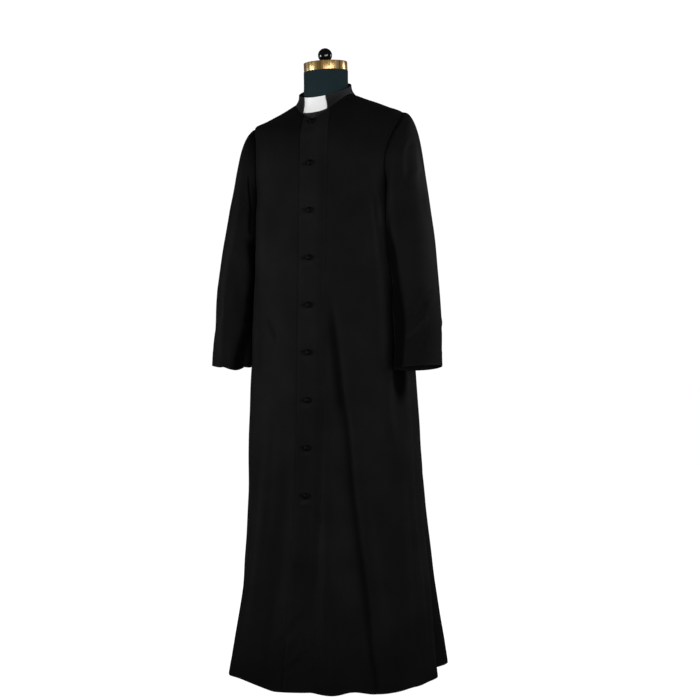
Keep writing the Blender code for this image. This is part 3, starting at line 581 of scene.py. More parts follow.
def leaned(points: Array) -> Array:
    """The points with the wearer's right shoulder hanging a little lower.

    Args:
        points: points of an even-shouldered garment.

    Returns:
        The moved points.
    """
    share = np.sin(math.pi / 2 * points[..., 0] / LEAN_AT)
    moved = points.copy()
    moved[..., 2] += LEAN * share * ease(points[..., 2], LEAN_FROM, SHOULDER_HEIGHT)
    return moved


class Body:
    """The garment's body: the inner surface that its panels, band and collar are made on."""

    def __init__(self) -> None:
        """Makes the curves through the section table."""
        self.sections = Curves(BODY_SECTIONS)

    def fold_depth(self, angles: Array, heights: Array) -> Array:
        """How far the long folds move the cloth outwards.

        Args:
            angles: degrees round the body from the centre front.
            heights: heights at the side.

        Returns:
            The outward distances.
        """
        total = np.zeros(np.broadcast(angles, heights).shape)
        for fold in FOLDS:
            strength = ease(heights, fold.top, fold.full)
            strength = strength * (1.0 - ease(heights, fold.fade, fold.end))
            run = (fold.top - heights) / (fold.top - max(fold.end, HEM_HEIGHT))
            line = mix(fold.top_angle, fold.low_angle, np.clip(run, 0.0, 1.0))
            total += fold.depth * strength * bell(angle_between(angles, line), fold.spread)
        return total

    def sway(self, angles: Array, heights: Array) -> Array:
        """How much higher the cloth hangs towards the hem.

        Args:
            angles: degrees round the body from the centre front.
            heights: heights at the side.

        Returns:
            The rises.
        """
        total = np.zeros(angles.shape)
        for angle, spread, rise in HEM_SWAYS:
            total += rise * bell(angle_between(angles, angle), spread)
        return total * (1.0 - ease(heights, HEM_HEIGHT, 0.30))

    def points(self, angles: Array | float, heights: Array | float) -> Array:
        """Points of the surface.

        Args:
            angles: degrees round the body, 0 at the centre front and 90 at the wearer's left.
            heights: heights at the side.

        Returns:
            The points, in the shape of the two broadcast together.
        """
        angles, heights = np.broadcast_arrays(np.asarray(angles, float), np.asarray(heights, float))
        section = {name: self.sections.read(name, heights) for name in self.sections.columns}
        across, ahead = np.sin(np.radians(angles)), np.cos(np.radians(angles))
        fore = ahead > 0
        depth = np.where(fore, section["front"], section["back"])
        power = np.where(fore, section["front_square"], section["back_square"])
        drop = np.where(fore, section["front_drop"], section["back_drop"])
        total = (np.abs(across) / section["width"]) ** power + (np.abs(ahead) / depth) ** power
        reach = total ** (-1 / power) + self.fold_depth(angles, heights)
        x, y = reach * across, section["middle"] - reach * ahead
        rise = self.sway(angles, heights) - drop * ahead * ahead
        return leaned(np.stack((x, y, heights + rise), axis=-1))

    def normals(self, angles: Array | float, heights: Array | float) -> Array:
        """Outward directions of the surface at the same places as points().

        Args:
            angles: degrees round the body from the centre front.
            heights: heights at the side.

        Returns:
            The directions, at length 1.
        """
        turn, rise = 0.4, 0.002
        low = np.maximum(np.asarray(heights, float) - rise, HEM_HEIGHT)
        high = np.minimum(np.asarray(heights, float) + rise, NECK_HEIGHT)
        ahead, behind = np.add(angles, turn), np.subtract(angles, turn)
        round_way = self.points(ahead, heights) - self.points(behind, heights)
        up_way = self.points(angles, high) - self.points(angles, low)
        return unit(np.cross(round_way, up_way))

    def cloth(self, angles: Array | float, heights: Array | float, out: Any = 0.0) -> Array:
        """Points at a distance out from the surface."""
        lift = np.asarray(out, float)[..., None]
        return self.points(angles, heights) + self.normals(angles, heights) * lift

    def angle_at(self, distance: Array | float, heights: Array) -> Array:
        """Angles at which the front lies this far from the centre front."""
        return np.degrees(np.arctan2(distance, self.sections.read("front", heights)))

    def section_through(self, height: float) -> float:
        """Side height of the section whose centre front, which hangs lower, is at this height.

        Args:
            height: height at the centre front.

        Returns:
            The side height.
        """
        side_height = height
        for _ in range(12):
            side_height = height + float(self.sections.read("front_drop", side_height))
        return side_height


def smooth_line(stops: Array, pieces: int) -> Array:
    """A smooth line through the stops, with this many straight pieces between each two.

    Args:
        stops: the stops in order.
        pieces: straight pieces between two stops.

    Returns:
        The line's points.
    """
    padded = np.concatenate(([2 * stops[0] - stops[1]], stops, [2 * stops[-1] - stops[-2]]))
    t = np.linspace(0.0, 1.0, pieces, endpoint=False)[:, None]
    runs = []
    for before, start, end, after in zip(padded, padded[1:], padded[2:], padded[3:]):
        bend = 2 * before - 5 * start + 4 * end - after
        twist = 3 * start - before - 3 * end + after
        runs.append(start + 0.5 * t * (end - before + t * (bend + t * twist)))
    return np.concatenate((*runs, stops[-1:]))


def tilted_ring(centre: Sequence[float], width: float, depth: float, tilt: float, angles: Array) -> Array:
    """Points round an ellipse that dips at the front.

    Args:
        centre: its middle.
        width: its half width.
        depth: its half depth.
        tilt: how far it leans forwards, in radians.
        angles: degrees round it, 0 at the front and 90 at the wearer's left.

    Returns:
        The points.
    """
    across, ahead = np.sin(np.radians(angles)), np.cos(np.radians(angles))
    x, y = centre[0] + width * across, centre[1] - depth * ahead * math.cos(tilt)
    return np.stack((x, y, centre[2] - depth * ahead * math.sin(tilt)), axis=-1)


def armhole_spread(heights: Array) -> Array:
    """0 at the armpit and the shoulder point, 1 where the armhole is widest."""
    share = (heights - ARMPIT_HEIGHT) / (SHOULDER_HEIGHT - ARMPIT_HEIGHT)
    return np.sin(math.pi * np.clip(share, 0.0, 1.0) ** ARMHOLE_LOW)


def run_down(heights: Array) -> Array:
    """0 at the neck and 1 at the hem."""
    return (NECK_HEIGHT - heights) / (NECK_HEIGHT - HEM_HEIGHT)


def low_shade(heights: Array) -> Array:
    """Painted shade, darker towards the hem."""
    return LOW_SHADE * (1 - ease(heights, 0.0, LOW_SHADE_TOP))


def lap_edge(heights: Array) -> Array:
    """Distance of the lap's edge from the centre front."""
    return mix(LAP_TOP, LAP_HEM, run_down(heights))


def band_edge(heights: Array) -> Array:
    """Distance of the band's stitched edge from the centre front."""
    return mix(BAND_TOP, BAND_HEM, run_down(heights))


class Relief:
    """What is finer than the long folds: the creases and the slack of the cloth."""

    def __init__(self, creases: Sequence[Crease], seed: int, slack: float = 0.0006) -> None:
        """Keeps the creases and draws the waves of the cloth's slack.

        Args:
            creases: the troughs and ridges placed on the piece.
            seed: start of this piece's waves.
            slack: height of the waves.
        """
        self.creases = tuple(creases)
        self.slack = slack
        draw = np.random.default_rng(seed)
        lengths = draw.uniform(WAVE_SHORT, WAVE_LONG, WAVE_COUNT)
        headings = draw.uniform(-0.5, 0.5, WAVE_COUNT)
        headings += math.pi / 2 * (draw.random(WAVE_COUNT) < WAVE_CROSSING)
        turns = 2 * math.pi / lengths
        phases = draw.uniform(0.0, 2 * math.pi, WAVE_COUNT)
        steps = (turns * np.cos(headings), turns * np.sin(headings), phases, lengths / WAVE_LONG)
        self.waves = np.stack(steps, axis=-1)

    @staticmethod
    def crease_height(crease: Crease, runs: Array, rises: Array) -> Array:
        """Outward height of one crease at the places.

        Args:
            crease: the crease.
            runs: metres along the cloth.
            rises: metres up the cloth, or down a sleeve.

        Returns:
            The heights.
        """
        stops = smooth_line(np.array(crease.line), 5)
        lengths = np.linalg.norm(np.diff(stops, axis=0), axis=1)
        marks = np.concatenate(([0.0], np.cumsum(lengths)))
        nearest = np.full(runs.shape, 1e9)
        share = np.zeros(runs.shape)
        for start, end, mark, length in zip(stops[:-1], stops[1:], marks, lengths):
            way = (end - start) / length
            x, z = runs - start[0], rises - start[1]
            along = np.clip(x * way[0] + z * way[1], 0.0, length)
            off = np.hypot(x - along * way[0], z - along * way[1])
            share = np.where(off < nearest, (mark + along) / marks[-1], share)
            nearest = np.minimum(off, nearest)
        fade = ease(share, -0.02, crease.blunt) * (1 - ease(share, 1 - crease.blunt, 1.02))
        near = nearest / (crease.width * (0.70 + 0.30 * fade))
        bank = bell(near - BANK_PLACE, BANK_SPREAD)
        return crease.depth * fade * (bell(near, 1.0) - crease.bank * bank)

    def hollow(self, runs: Array, rises: Array) -> Array:
        """Painted shade in the troughs at the places, from 0 to 1."""
        return self.steepness(runs, rises, -1.0)

    def shine(self, runs: Array, rises: Array) -> Array:
        """Painted highlight on the ridges at the places, from 0 to 1."""
        return self.steepness(runs, rises, 1.0)

    def steepness(self, runs: Array, rises: Array, way: float) -> Array:
        """Painted highlight on ridges (way 1) or painted shade in troughs (way -1), from 0 to 1.

        Args:
            runs: metres along the cloth.
            rises: metres up the cloth, or down a sleeve.
            way: 1 for ridges, -1 for troughs.

        Returns:
            How strongly they show.
        """
        most = np.zeros(runs.shape)
        for crease in self.creases:
            if crease.depth * way > 0:
                height = way * self.crease_height(replace(crease, bank=0.0), runs, rises)
                most = np.maximum(most, height / crease.width * crease.shade)
        return ease(most, *STEEP)

    def heights(self, runs: Array, rises: Array) -> Array:
        """Outward heights of the whole relief at places on the cloth.

        Args:
            runs: metres along the cloth.
            rises: metres up the cloth, or down a sleeve.

        Returns:
            The heights.
        """
        total = sum((self.crease_height(crease, runs, rises) for crease in self.creases), 0.0 * runs)
        for along, up, phase, size in self.waves:
            bent = runs + 0.012 * np.sin(rises * 9.0 + phase)
            total += self.slack * size * np.sin(bent * along + rises * up + phase) * 0.42
        return total


# ------------------------------------------------------------------ shader maths
class Signal:
    """A number that flows through a material's nodes."""

    def __init__(self, graph: Graph, socket: bpy.types.NodeSocket) -> None:
        """Wraps an output socket of one of the graph's nodes."""
        self.graph = graph
        self.socket = socket

    def __add__(self, other: Signal | float) -> Signal:
        """Sum."""
        return self.graph.maths("ADD", self, other)

    def __sub__(self, other: Signal | float) -> Signal:
        """Difference."""
        return self.graph.maths("SUBTRACT", self, other)

    def __rsub__(self, other: float) -> Signal:
        """Difference from a number."""
        return self.graph.maths("SUBTRACT", other, self)

    def __mul__(self, other: Signal | float) -> Signal:
        """Product."""
        return self.graph.maths("MULTIPLY", self, other)

    __radd__ = __add__
    __rmul__ = __mul__

    def sine(self) -> Signal:
        """Sine of the signal in radians."""
        return self.graph.maths("SINE", self)

    def between(self, low: float, high: float) -> Signal:
        """0 below low, 1 above high and smooth between them.

        Args:
            low: where it leaves 0.
            high: where it reaches 1.

        Returns:
            The new signal.
        """
        node = self.graph.add(
            "ShaderNodeMapRange",
            {"interpolation_type": "SMOOTHSTEP"},
            {"Value": self, "From Min": low, "From Max": high},
        )
        return Signal(self.graph, node.outputs["Result"])


class Graph:
    """One material's node tree round its Principled shader."""

    def __init__(self, name: str) -> None:
        """Makes a material with an empty tree, a shader and its output.

        Args:
            name: the material's name.
        """
        self.material = bpy.data.materials.new(name)
        self.material.use_nodes = True
        self.tree = self.material.node_tree
        self.tree.nodes.clear()
        self.shader = self.add("ShaderNodeBsdfPrincipled")
        self.add("ShaderNodeOutputMaterial", {}, {"Surface": self.shader.outputs["BSDF"]})

    def add(
        self, kind: str, settings: dict[str, Any] | None = None, values: dict[Any, Any] | None = None
    ) -> bpy.types.Node:
        """Adds a node.

        Args:
            kind: the node's type.
            settings: its own settings, and a ramp's stops as (place, colour) pairs.
            values: a number, colour, socket or Signal for each named or numbered input.

        Returns:
            The node.
        """
        node = self.tree.nodes.new(kind)
        for name, value in (settings or {}).items():
            if name == "stops":
                self._set_stops(node, value)
            else:
                setattr(node, name, value)
        for name, value in (values or {}).items():
            self.feed(node.inputs[name], value)
        return node

    @staticmethod
    def _set_stops(node: bpy.types.Node, stops: Sequence[tuple[float, Colour]]) -> None:
        """Sets a ramp's stops.

        Args:
            node: the ramp.
            stops: place and colour of each stop.
        """
        elements = node.color_ramp.elements
        while len(elements) < len(stops):
            elements.new(0.5)
        for element, (place, colour) in zip(elements, stops):
            element.position = place
            element.color = (*colour, 1.0)

    def feed(self, socket: bpy.types.NodeSocket, value: Any) -> None:
        """Links a signal or socket to an input, or sets its value.

        Args:
            socket: the input.
            value: a signal, socket, colour or number.
        """
        if isinstance(value, Signal):
            self.tree.links.new(value.socket, socket)
        elif isinstance(value, bpy.types.NodeSocket):
            self.tree.links.new(value, socket)
        elif isinstance(value, tuple) and socket.type == "RGBA":
            socket.default_value = (*value[:3], 1.0)
        else:
            socket.default_value = value

    def maths(self, operation: str, *terms: Signal | float) -> Signal:
        """A Math node on one or two terms."""
        node = self.add("ShaderNodeMath", {"operation": operation}, dict(enumerate(terms)))
        return Signal(self, node.outputs[0])

    def noise(self, scale: float, detail: float = 2.0, place: Any = None, rough: float = 0.5) -> Signal:
        """Noise from 0 to 1 on Object coordinates, or on the place that is given.

        Args:
            scale: lumps in a metre, roughly.
            detail: finer layers.
            place: coordinates to read.
            rough: strength of the finer layers.

        Returns:
            The noise.
        """
        place = self.place() if place is None else place
        values = {"Vector": place, "Scale": scale, "Detail": detail, "Roughness": rough}
        node = self.add("ShaderNodeTexNoise", {"noise_dimensions": "3D"}, values)
        return Signal(self, node.outputs["Fac"])

    def place(self, kind: str = "Object") -> bpy.types.NodeSocket:
        """Coordinates of this kind, Object or UV."""
        return self.add("ShaderNodeTexCoord").outputs[kind]

    def axes(self, kind: str, *names: str) -> list[Signal]:
        """The named axes of a kind of coordinates; UV has metres along weft (X) and warp (Y)."""
        parts = self.add("ShaderNodeSeparateXYZ", {}, {"Vector": self.place(kind)})
        return [Signal(self, parts.outputs[name]) for name in names]

    def attribute(self, name: str) -> Signal:
        """A number stored on the mesh's points."""
        node = self.add("ShaderNodeAttribute", {"attribute_name": name})
        return Signal(self, node.outputs["Fac"])

    def blend(self, factor: Signal, first: Any, second: Any) -> bpy.types.NodeSocket:
        """A colour between two by a signal."""
        values = {"Factor": factor, 6: first, 7: second}
        return self.add("ShaderNodeMix", {"data_type": "RGBA"}, values).outputs[2]

    def set(self, **values: Any) -> None:
        """Sets the shader's inputs; an underscore in a name stands for a space."""
        for name, value in values.items():
            self.feed(self.shader.inputs[name.replace("_", " ")], value)

    def bump(self, *layers: tuple[Signal, float]) -> None:
        """Stacks bumps of these heights in metres on the shader's normal.

        Args:
            *layers: height signal and full height of each bump.
        """
        normal = None
        for height, distance in layers:
            values: dict[Any, Any] = {"Height": height, "Distance": distance, "Strength": 1.0}
            if normal is not None:
                values["Normal"] = normal
            normal = self.add("ShaderNodeBump", {}, values).outputs["Normal"]
        if normal is not None:
            self.feed(self.shader.inputs["Normal"], normal)


# ------------------------------------------------------------------ finishes
@dataclass(frozen=True)
class Twill:
    """Fulled black wool-blend twill: a fine diagonal, a faint nap, pressed edges, painted highlight and
    painted shade.
    """

    name: str
    colour: Colour = (0.0046, 0.0045, 0.0049)
    # the lighter tone: random fading, pressing wear and painted highlight
    faded: Colour = (0.0090, 0.0089, 0.0096)
    pitch: float = 0.0011
    nap: float = 0.00003
    sheen: float = 0.006
    lustre: float = 0.03
    roughness: float = 0.66
    # the painted shade's colour, and how far the painted shade takes the cloth towards it
    shadowed: Colour = (0.0004, 0.0004, 0.0005)
    shade: float = 0.90

    def material(self) -> bpy.types.Material:
        """The finish as a material that reads the piece's UV map, its wear with painted highlight, and its
        painted shade.

        Returns:
            The material.
        """
        graph = Graph(self.name)
        weft, warp = graph.axes("UV", "X", "Y")
        turns = 2 * math.pi / self.pitch
        ribs = ((weft + warp * 1.6) * turns).sine() * 0.5 + 0.5
        threads = (weft * (turns * 2.0)).sine() * (warp * (turns * 2.0)).sine() * 0.5 + 0.5
        cloudy = graph.noise(9.0, 3.0)
        nap = graph.noise(900.0, 2.0, rough=0.7)
        wear, hollow = graph.attribute("wear"), graph.attribute("hollow")
        # the lighter tone comes from random cloudiness and nap, and from wear with painted highlight
        tone = cloudy.between(0.30, 0.75) * 0.45 + nap * 0.25 + wear * 0.55
        cloth = graph.blend(tone, self.colour, self.faded)
        graph.set(
            # the base colour darkens by the painted shade
            Base_Color=graph.blend(hollow * self.shade, cloth, self.shadowed),
            Roughness=self.roughness - wear * 0.10 - cloudy * 0.10 + hollow * 0.34,
            Diffuse_Roughness=1.0,
            Specular_IOR_Level=self.lustre,
            Sheen_Weight=self.sheen,
            Sheen_Roughness=0.42,
            Sheen_Tint=(0.93, 0.93, 1.0),
        )
        graph.bump((ribs * 0.7 + threads * 0.3, self.pitch * 0.06), (nap, self.nap))
        return graph.material


@dataclass(frozen=True)
class ButtonSatin:
    """Black satin over a button mould, drawn tight."""

    name: str = "button_satin"
    colour: Colour = (0.0008, 0.0008, 0.0009)
    lighter: Colour = (0.0018, 0.0018, 0.0020)
    weave: float = 9000.0

    def material(self) -> bpy.types.Material:
        """The finish as a material.

        Returns:
            The material.
        """
        graph = Graph(self.name)
        weft, warp = ((axis * self.weave).sine() for axis in graph.axes("Object", "X", "Z"))
        soft = graph.noise(420.0, 3.0)
        graph.set(
            Base_Color=graph.blend(soft, self.colour, self.lighter),
            Roughness=soft * 0.16 + 0.46,
            Specular_IOR_Level=0.045,
        )
        graph.bump((weft * warp, 0.00002), (soft, 0.00008))
        return graph.material


@dataclass(frozen=True)
class Jersey:
    """Dark blue-green jersey stretched over the form: fine knit wales."""

    name: str = "form_jersey_knit"
    colour: Colour = (0.0080, 0.0175, 0.0210)
    lighter: Colour = (0.0150, 0.0310, 0.0370)
    wale: float = 0.0013

    def material(self) -> bpy.types.Material:
        """The finish as a material.

        Returns:
            The material.
        """
        graph = Graph(self.name)
        weft, warp = graph.axes("UV", "X", "Y")
        turns = 2 * math.pi / self.wale
        wales = (weft * turns).sine() * 0.5 + 0.5
        loops = ((warp * (turns * 1.4)) + (weft * turns).sine() * 0.8).sine() * 0.5 + 0.5
        cloudy = graph.noise(24.0, 3.0)
        tone = wales * loops * 0.55 + cloudy * 0.45
        graph.set(
            Base_Color=graph.blend(tone, self.colour, self.lighter),
            Roughness=0.84 - cloudy * 0.12,
            Specular_IOR_Level=0.08,
            Sheen_Weight=0.01,
            Sheen_Roughness=0.4,
            Sheen_Tint=(0.7, 0.95, 1.0),
        )
        graph.bump((wales * 0.6 + loops * 0.4, self.wale * 0.08))
        return graph.material


@dataclass(frozen=True)
class Mottled:
    """A plain finish that drifts between two tones over a fine grain: thread, plastic or lacquer.

    drift and grain are noises, each its scale and detail. rough is the roughness at the
    drift's two ends, and grain_height is in metres.
    """

    name: str
    colour: Colour
    lighter: Colour
    drift: tuple[float, float]
    rough: tuple[float, float]
    specular: float = 0.5
    grain: tuple[float, float] = (500.0, 2.0)
    grain_height: float = 0.00001

    def material(self) -> bpy.types.Material:
        """The finish as a material.

        Returns:
            The material.
        """
        graph = Graph(self.name)
        drift = graph.noise(*self.drift)
        grain = graph.noise(*self.grain)
        least, most = self.rough
        graph.set(
            Base_Color=graph.blend(drift, self.colour, self.lighter),
            Roughness=drift * (most - least) + least,
            Specular_IOR_Level=self.specular,
        )
        graph.bump((grain, self.grain_height))
        return graph.material


@dataclass(frozen=True)
class GoldPlate:
    """Thin gold plate with painted reflections: dark and pale streaks in its colour that run upright round
    the band.
    """

    name: str = "gold_band"
    # dark to pale colours of the painted reflection streaks
    stops: tuple[tuple[float, Colour], ...] = (
        (0.30, (0.10, 0.044, 0.009)),
        (0.44, (0.38, 0.220, 0.062)),
        (0.56, (0.62, 0.430, 0.180)),
        (0.72, (0.86, 0.780, 0.600)),
    )

    def material(self) -> bpy.types.Material:
        """The finish as a material.

        Returns:
            The material.
        """
        graph = Graph(self.name)
        middle = {"Location": (0.0, -NECK_AXIS_Y, 0.0), "Scale": (1.0, 1.0, 0.0)}
        flat = graph.add("ShaderNodeMapping", {}, {"Vector": graph.place(), **middle})
        rim = {"operation": "NORMALIZE"}
        round_way = graph.add("ShaderNodeVectorMath", rim, {0: flat.outputs["Vector"]}).outputs["Vector"]
        # painted reflections: noise round the band picks streaks of dark and pale colour
        reflection_streaks = graph.noise(6.4, 2.0, round_way, 0.6)
        fine = graph.noise(42.0, 2.0, round_way)
        ramp = graph.add("ShaderNodeValToRGB", {"stops": self.stops}, {"Fac": reflection_streaks * 0.9 + fine * 0.1})
        graph.set(
            Base_Color=ramp.outputs["Color"],
            Metallic=0.62,
            Roughness=fine * 0.12 + 0.18,
            Specular_IOR_Level=0.6,
        )
        graph.bump((fine, 0.00001))
        return graph.material


@dataclass(frozen=True)
class PaleFloor:
    """Plain white studio floor."""

    name: str = "studio_floor"

    def material(self) -> bpy.types.Material:
        """The finish as a material that glows a little, so that it stays white.

        Returns:
            The material.
        """
        graph = Graph(self.name)
        graph.set(
            Base_Color=(0.30, 0.30, 0.30),
            Roughness=0.9,
            Specular_IOR_Level=0.0,
            Emission_Color=(1.0, 1.0, 1.0),
            Emission_Strength=1.00,
        )
        return graph.material


class Finish(Enum):
    """The named finishes of the object's pieces, each with the record's slot for it."""

    CLOTH = (Twill("cassock_twill"), "black_cloth")
    BAND = (Twill("band_twill", (0.0051, 0.0050, 0.0053), (0.0098, 0.0097, 0.0103)), "black_cloth")
    # the collar's lighter colours, most of all its second, paint a highlight round its sides
    COLLAR = (
        Twill(
            "collar_twill", (0.0054, 0.0053, 0.0058), (0.0270, 0.0264, 0.0288), lustre=0.10,
            roughness=0.56,
        ),
        "black_cloth",
    )
    BUTTON = (ButtonSatin(), "black_button")
    THREAD = (
        Mottled(
            "sewing_thread", (0.0010, 0.0010, 0.0010), (0.0030, 0.0030, 0.0032),
            (2600.0, 2.0), (0.55, 0.75), 0.05, (2600.0, 2.0), 0.00004,
        ),
        "black_cloth",
    )
    TAB = (
        Mottled(
            "tab_plastic", (0.86, 0.86, 0.86), (0.93, 0.93, 0.93),
            (60.0, 4.0), (0.36, 0.50), grain=(1500.0, 2.0),
        ),
        "white_tab",
    )
    JERSEY = (Jersey(), "form_jersey")
    GOLD = (GoldPlate(), "gold_metal")
    GLOSS = (
        Mottled(
            "knob_gloss", (0.003, 0.003, 0.003), (0.005, 0.004, 0.004), (40.0, 4.0), (0.07, 0.13)
        ),
        "black_gloss",
    )
    STEEL = (
        Mottled(
            "stand_powder_coat", (0.022, 0.022, 0.024), (0.032, 0.032, 0.034),
            (40.0, 4.0), (0.42, 0.58), grain=(900.0, 2.0), grain_height=0.00006,
        ),
        "stand_steel",
    )

    @property
    def slot(self) -> str:
        """The record's material slot."""
        return self.value[1]

    def material(self) -> bpy.types.Material:
        """The finish's material, made once."""
        maker = self.value[0]
        return bpy.data.materials.get(maker.name) or maker.material()


# ------------------------------------------------------------------ meshes of cloth
@dataclass
class Sheet:
    """A grid of points on a piece of cloth with all that its shell needs.

    outer and inner are its two faces, rows by columns; across and up are metres along the
    weave. Two more numbers from 0 to 1 go on the outer face: pressing wear with painted highlight
    on pressed or rubbed edges and on ridges, and painted shade in creases, along seams and on darker
    zones.
    """

    name: str
    outer: Array
    inner: Array
    across: Array
    up: Array
    wear: Array
    hollow: Array | None = None
    closed: bool = False

    def faces(self) -> Array:
        """Quads of the outer face, the inner face and the walls between their edges.

        Returns:
            The numbers of the four points of each quad.
        """
        rows, columns = self.across.shape
        index = np.arange(rows * columns).reshape(rows, columns)
        inside = index + rows * columns
        after = np.roll(index, -1, axis=1) if self.closed else index[:, 1:]
        here = index if self.closed else index[:, :-1]
        quads = [np.stack((here[:-1], after[:-1], after[1:], here[1:]), axis=-1).reshape(-1, 4)]
        quads.append(quads[0][:, ::-1] + rows * columns)
        for row, way in ((0, 1), (-1, -1)):
            low, high = here[row], after[row]
            wall = np.stack((low, low + rows * columns, high + rows * columns, high), axis=-1)
            quads.append(wall[:, ::way])
        if not self.closed:
            for column, way in ((0, -1), (-1, 1)):
                line, back = index[:, column], inside[:, column]
                wall = np.stack((line[:-1], back[:-1], back[1:], line[1:]), axis=-1)
                quads.append(wall[:, ::way])
        return np.concatenate(quads)

    def build(self, finish: Finish) -> bpy.types.Object:
        """Makes the shell's object, dresses it and lets it ride.

        Args:
            finish: what it is made of.

        Returns:
            The finished object.
        """
        points = np.concatenate((self.outer.reshape(-1, 3), self.inner.reshape(-1, 3)))
        quads = self.faces()
        corners = points[quads]
        spokes = np.cross(corners[:, 2] - corners[:, 0], corners[:, 3] - corners[:, 1])
        if np.einsum("ij,ij->", corners.mean(axis=1), spokes) < 0:
            quads = quads[:, ::-1]
        chart = np.stack((self.across, self.up), axis=-1).reshape(-1, 2)
        thing = charted(self.name, points, quads.tolist(), np.concatenate((chart, chart)))
        hollow = 0.0 * self.wear if self.hollow is None else self.hollow
        # the first number lightens the cloth's colour as wear and painted highlight, the second darkens it
        # as painted shade; the inner face gets 0
        for name, outer in (("wear", self.wear), ("hollow", hollow)):
            values = np.concatenate((outer.ravel(), 0.0 * outer.ravel()))
            layer = thing.data.attributes.new(name, "FLOAT", "POINT")
            layer.data.foreach_set("value", values.astype(np.float32))
        thing.data.shade_smooth()
        return dress(thing, finish)


def charted(name: str, points: Array, faces: list[list[int]], chart: Array) -> bpy.types.Object:
    """A new object in the scene whose mesh has a UV map of metres along the weave.

    Args:
        name: the object's and the mesh's name.
        points: the mesh's points.
        faces: the numbers of each face's points.
        chart: each point's place on the weave.

    Returns:
        The object.
    """
    mesh = bpy.data.meshes.new(name)
    mesh.from_pydata(points.tolist(), [], faces)
    loops = np.empty(len(mesh.loops), np.int32)
    mesh.loops.foreach_get("vertex_index", loops)
    weave = mesh.uv_layers.new(name="weave")
    weave.data.foreach_set("uv", chart[loops].astype(np.float32).ravel())
    thing = bpy.data.objects.new(name, mesh)
    bpy.context.scene.collection.objects.link(thing)
    return thing


def report(thing: bpy.types.Object) -> bpy.types.Object:
    """Logs a finished piece and its number of faces."""
    LOG.info("%s: %d faces", thing.name, len(thing.data.polygons))
    return thing


def dress(thing: bpy.types.Object, finish: Finish) -> bpy.types.Object:
    """Gives a piece its finish, and lets it ride on the one body.

    Args:
        thing: the piece.
        finish: what it is made of.

    Returns:
        The piece.
    """
    thing.data.materials.clear()
    thing.data.materials.append(finish.material())
    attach(thing, "root")
    finish.slot
    return thing


def ring_normals(grid: Array) -> Array:
    """Directions across a grid of closed rings of points, column way crossed with row way."""
    wide = np.roll(grid, -1, axis=1) - np.roll(grid, 1, axis=1)
    return unit(np.cross(wide, np.gradient(grid, axis=0)))


def rolled(distance: Array, radius: float = 0.0016, keep: float = 0.45) -> Array:
    """Share of a wall's thickness near an edge that is rolled over a quarter round."""
    t = np.clip(distance / radius, 0.0, 1.0)
    return keep + (1 - keep) * np.sqrt(1 - (1 - t) ** 2)


def pressed_edge_highlight(distance: Array) -> Array:
    """Pressing wear and a painted highlight along an edge, at a distance from it."""
    return 0.8 * bell(distance - PRESS_IN, PRESS_WIDTH)


class Panel(Enum):
    """The three panels of the body."""

    LEFT = "front_left"
    RIGHT = "front_right"
    BACK = "back"


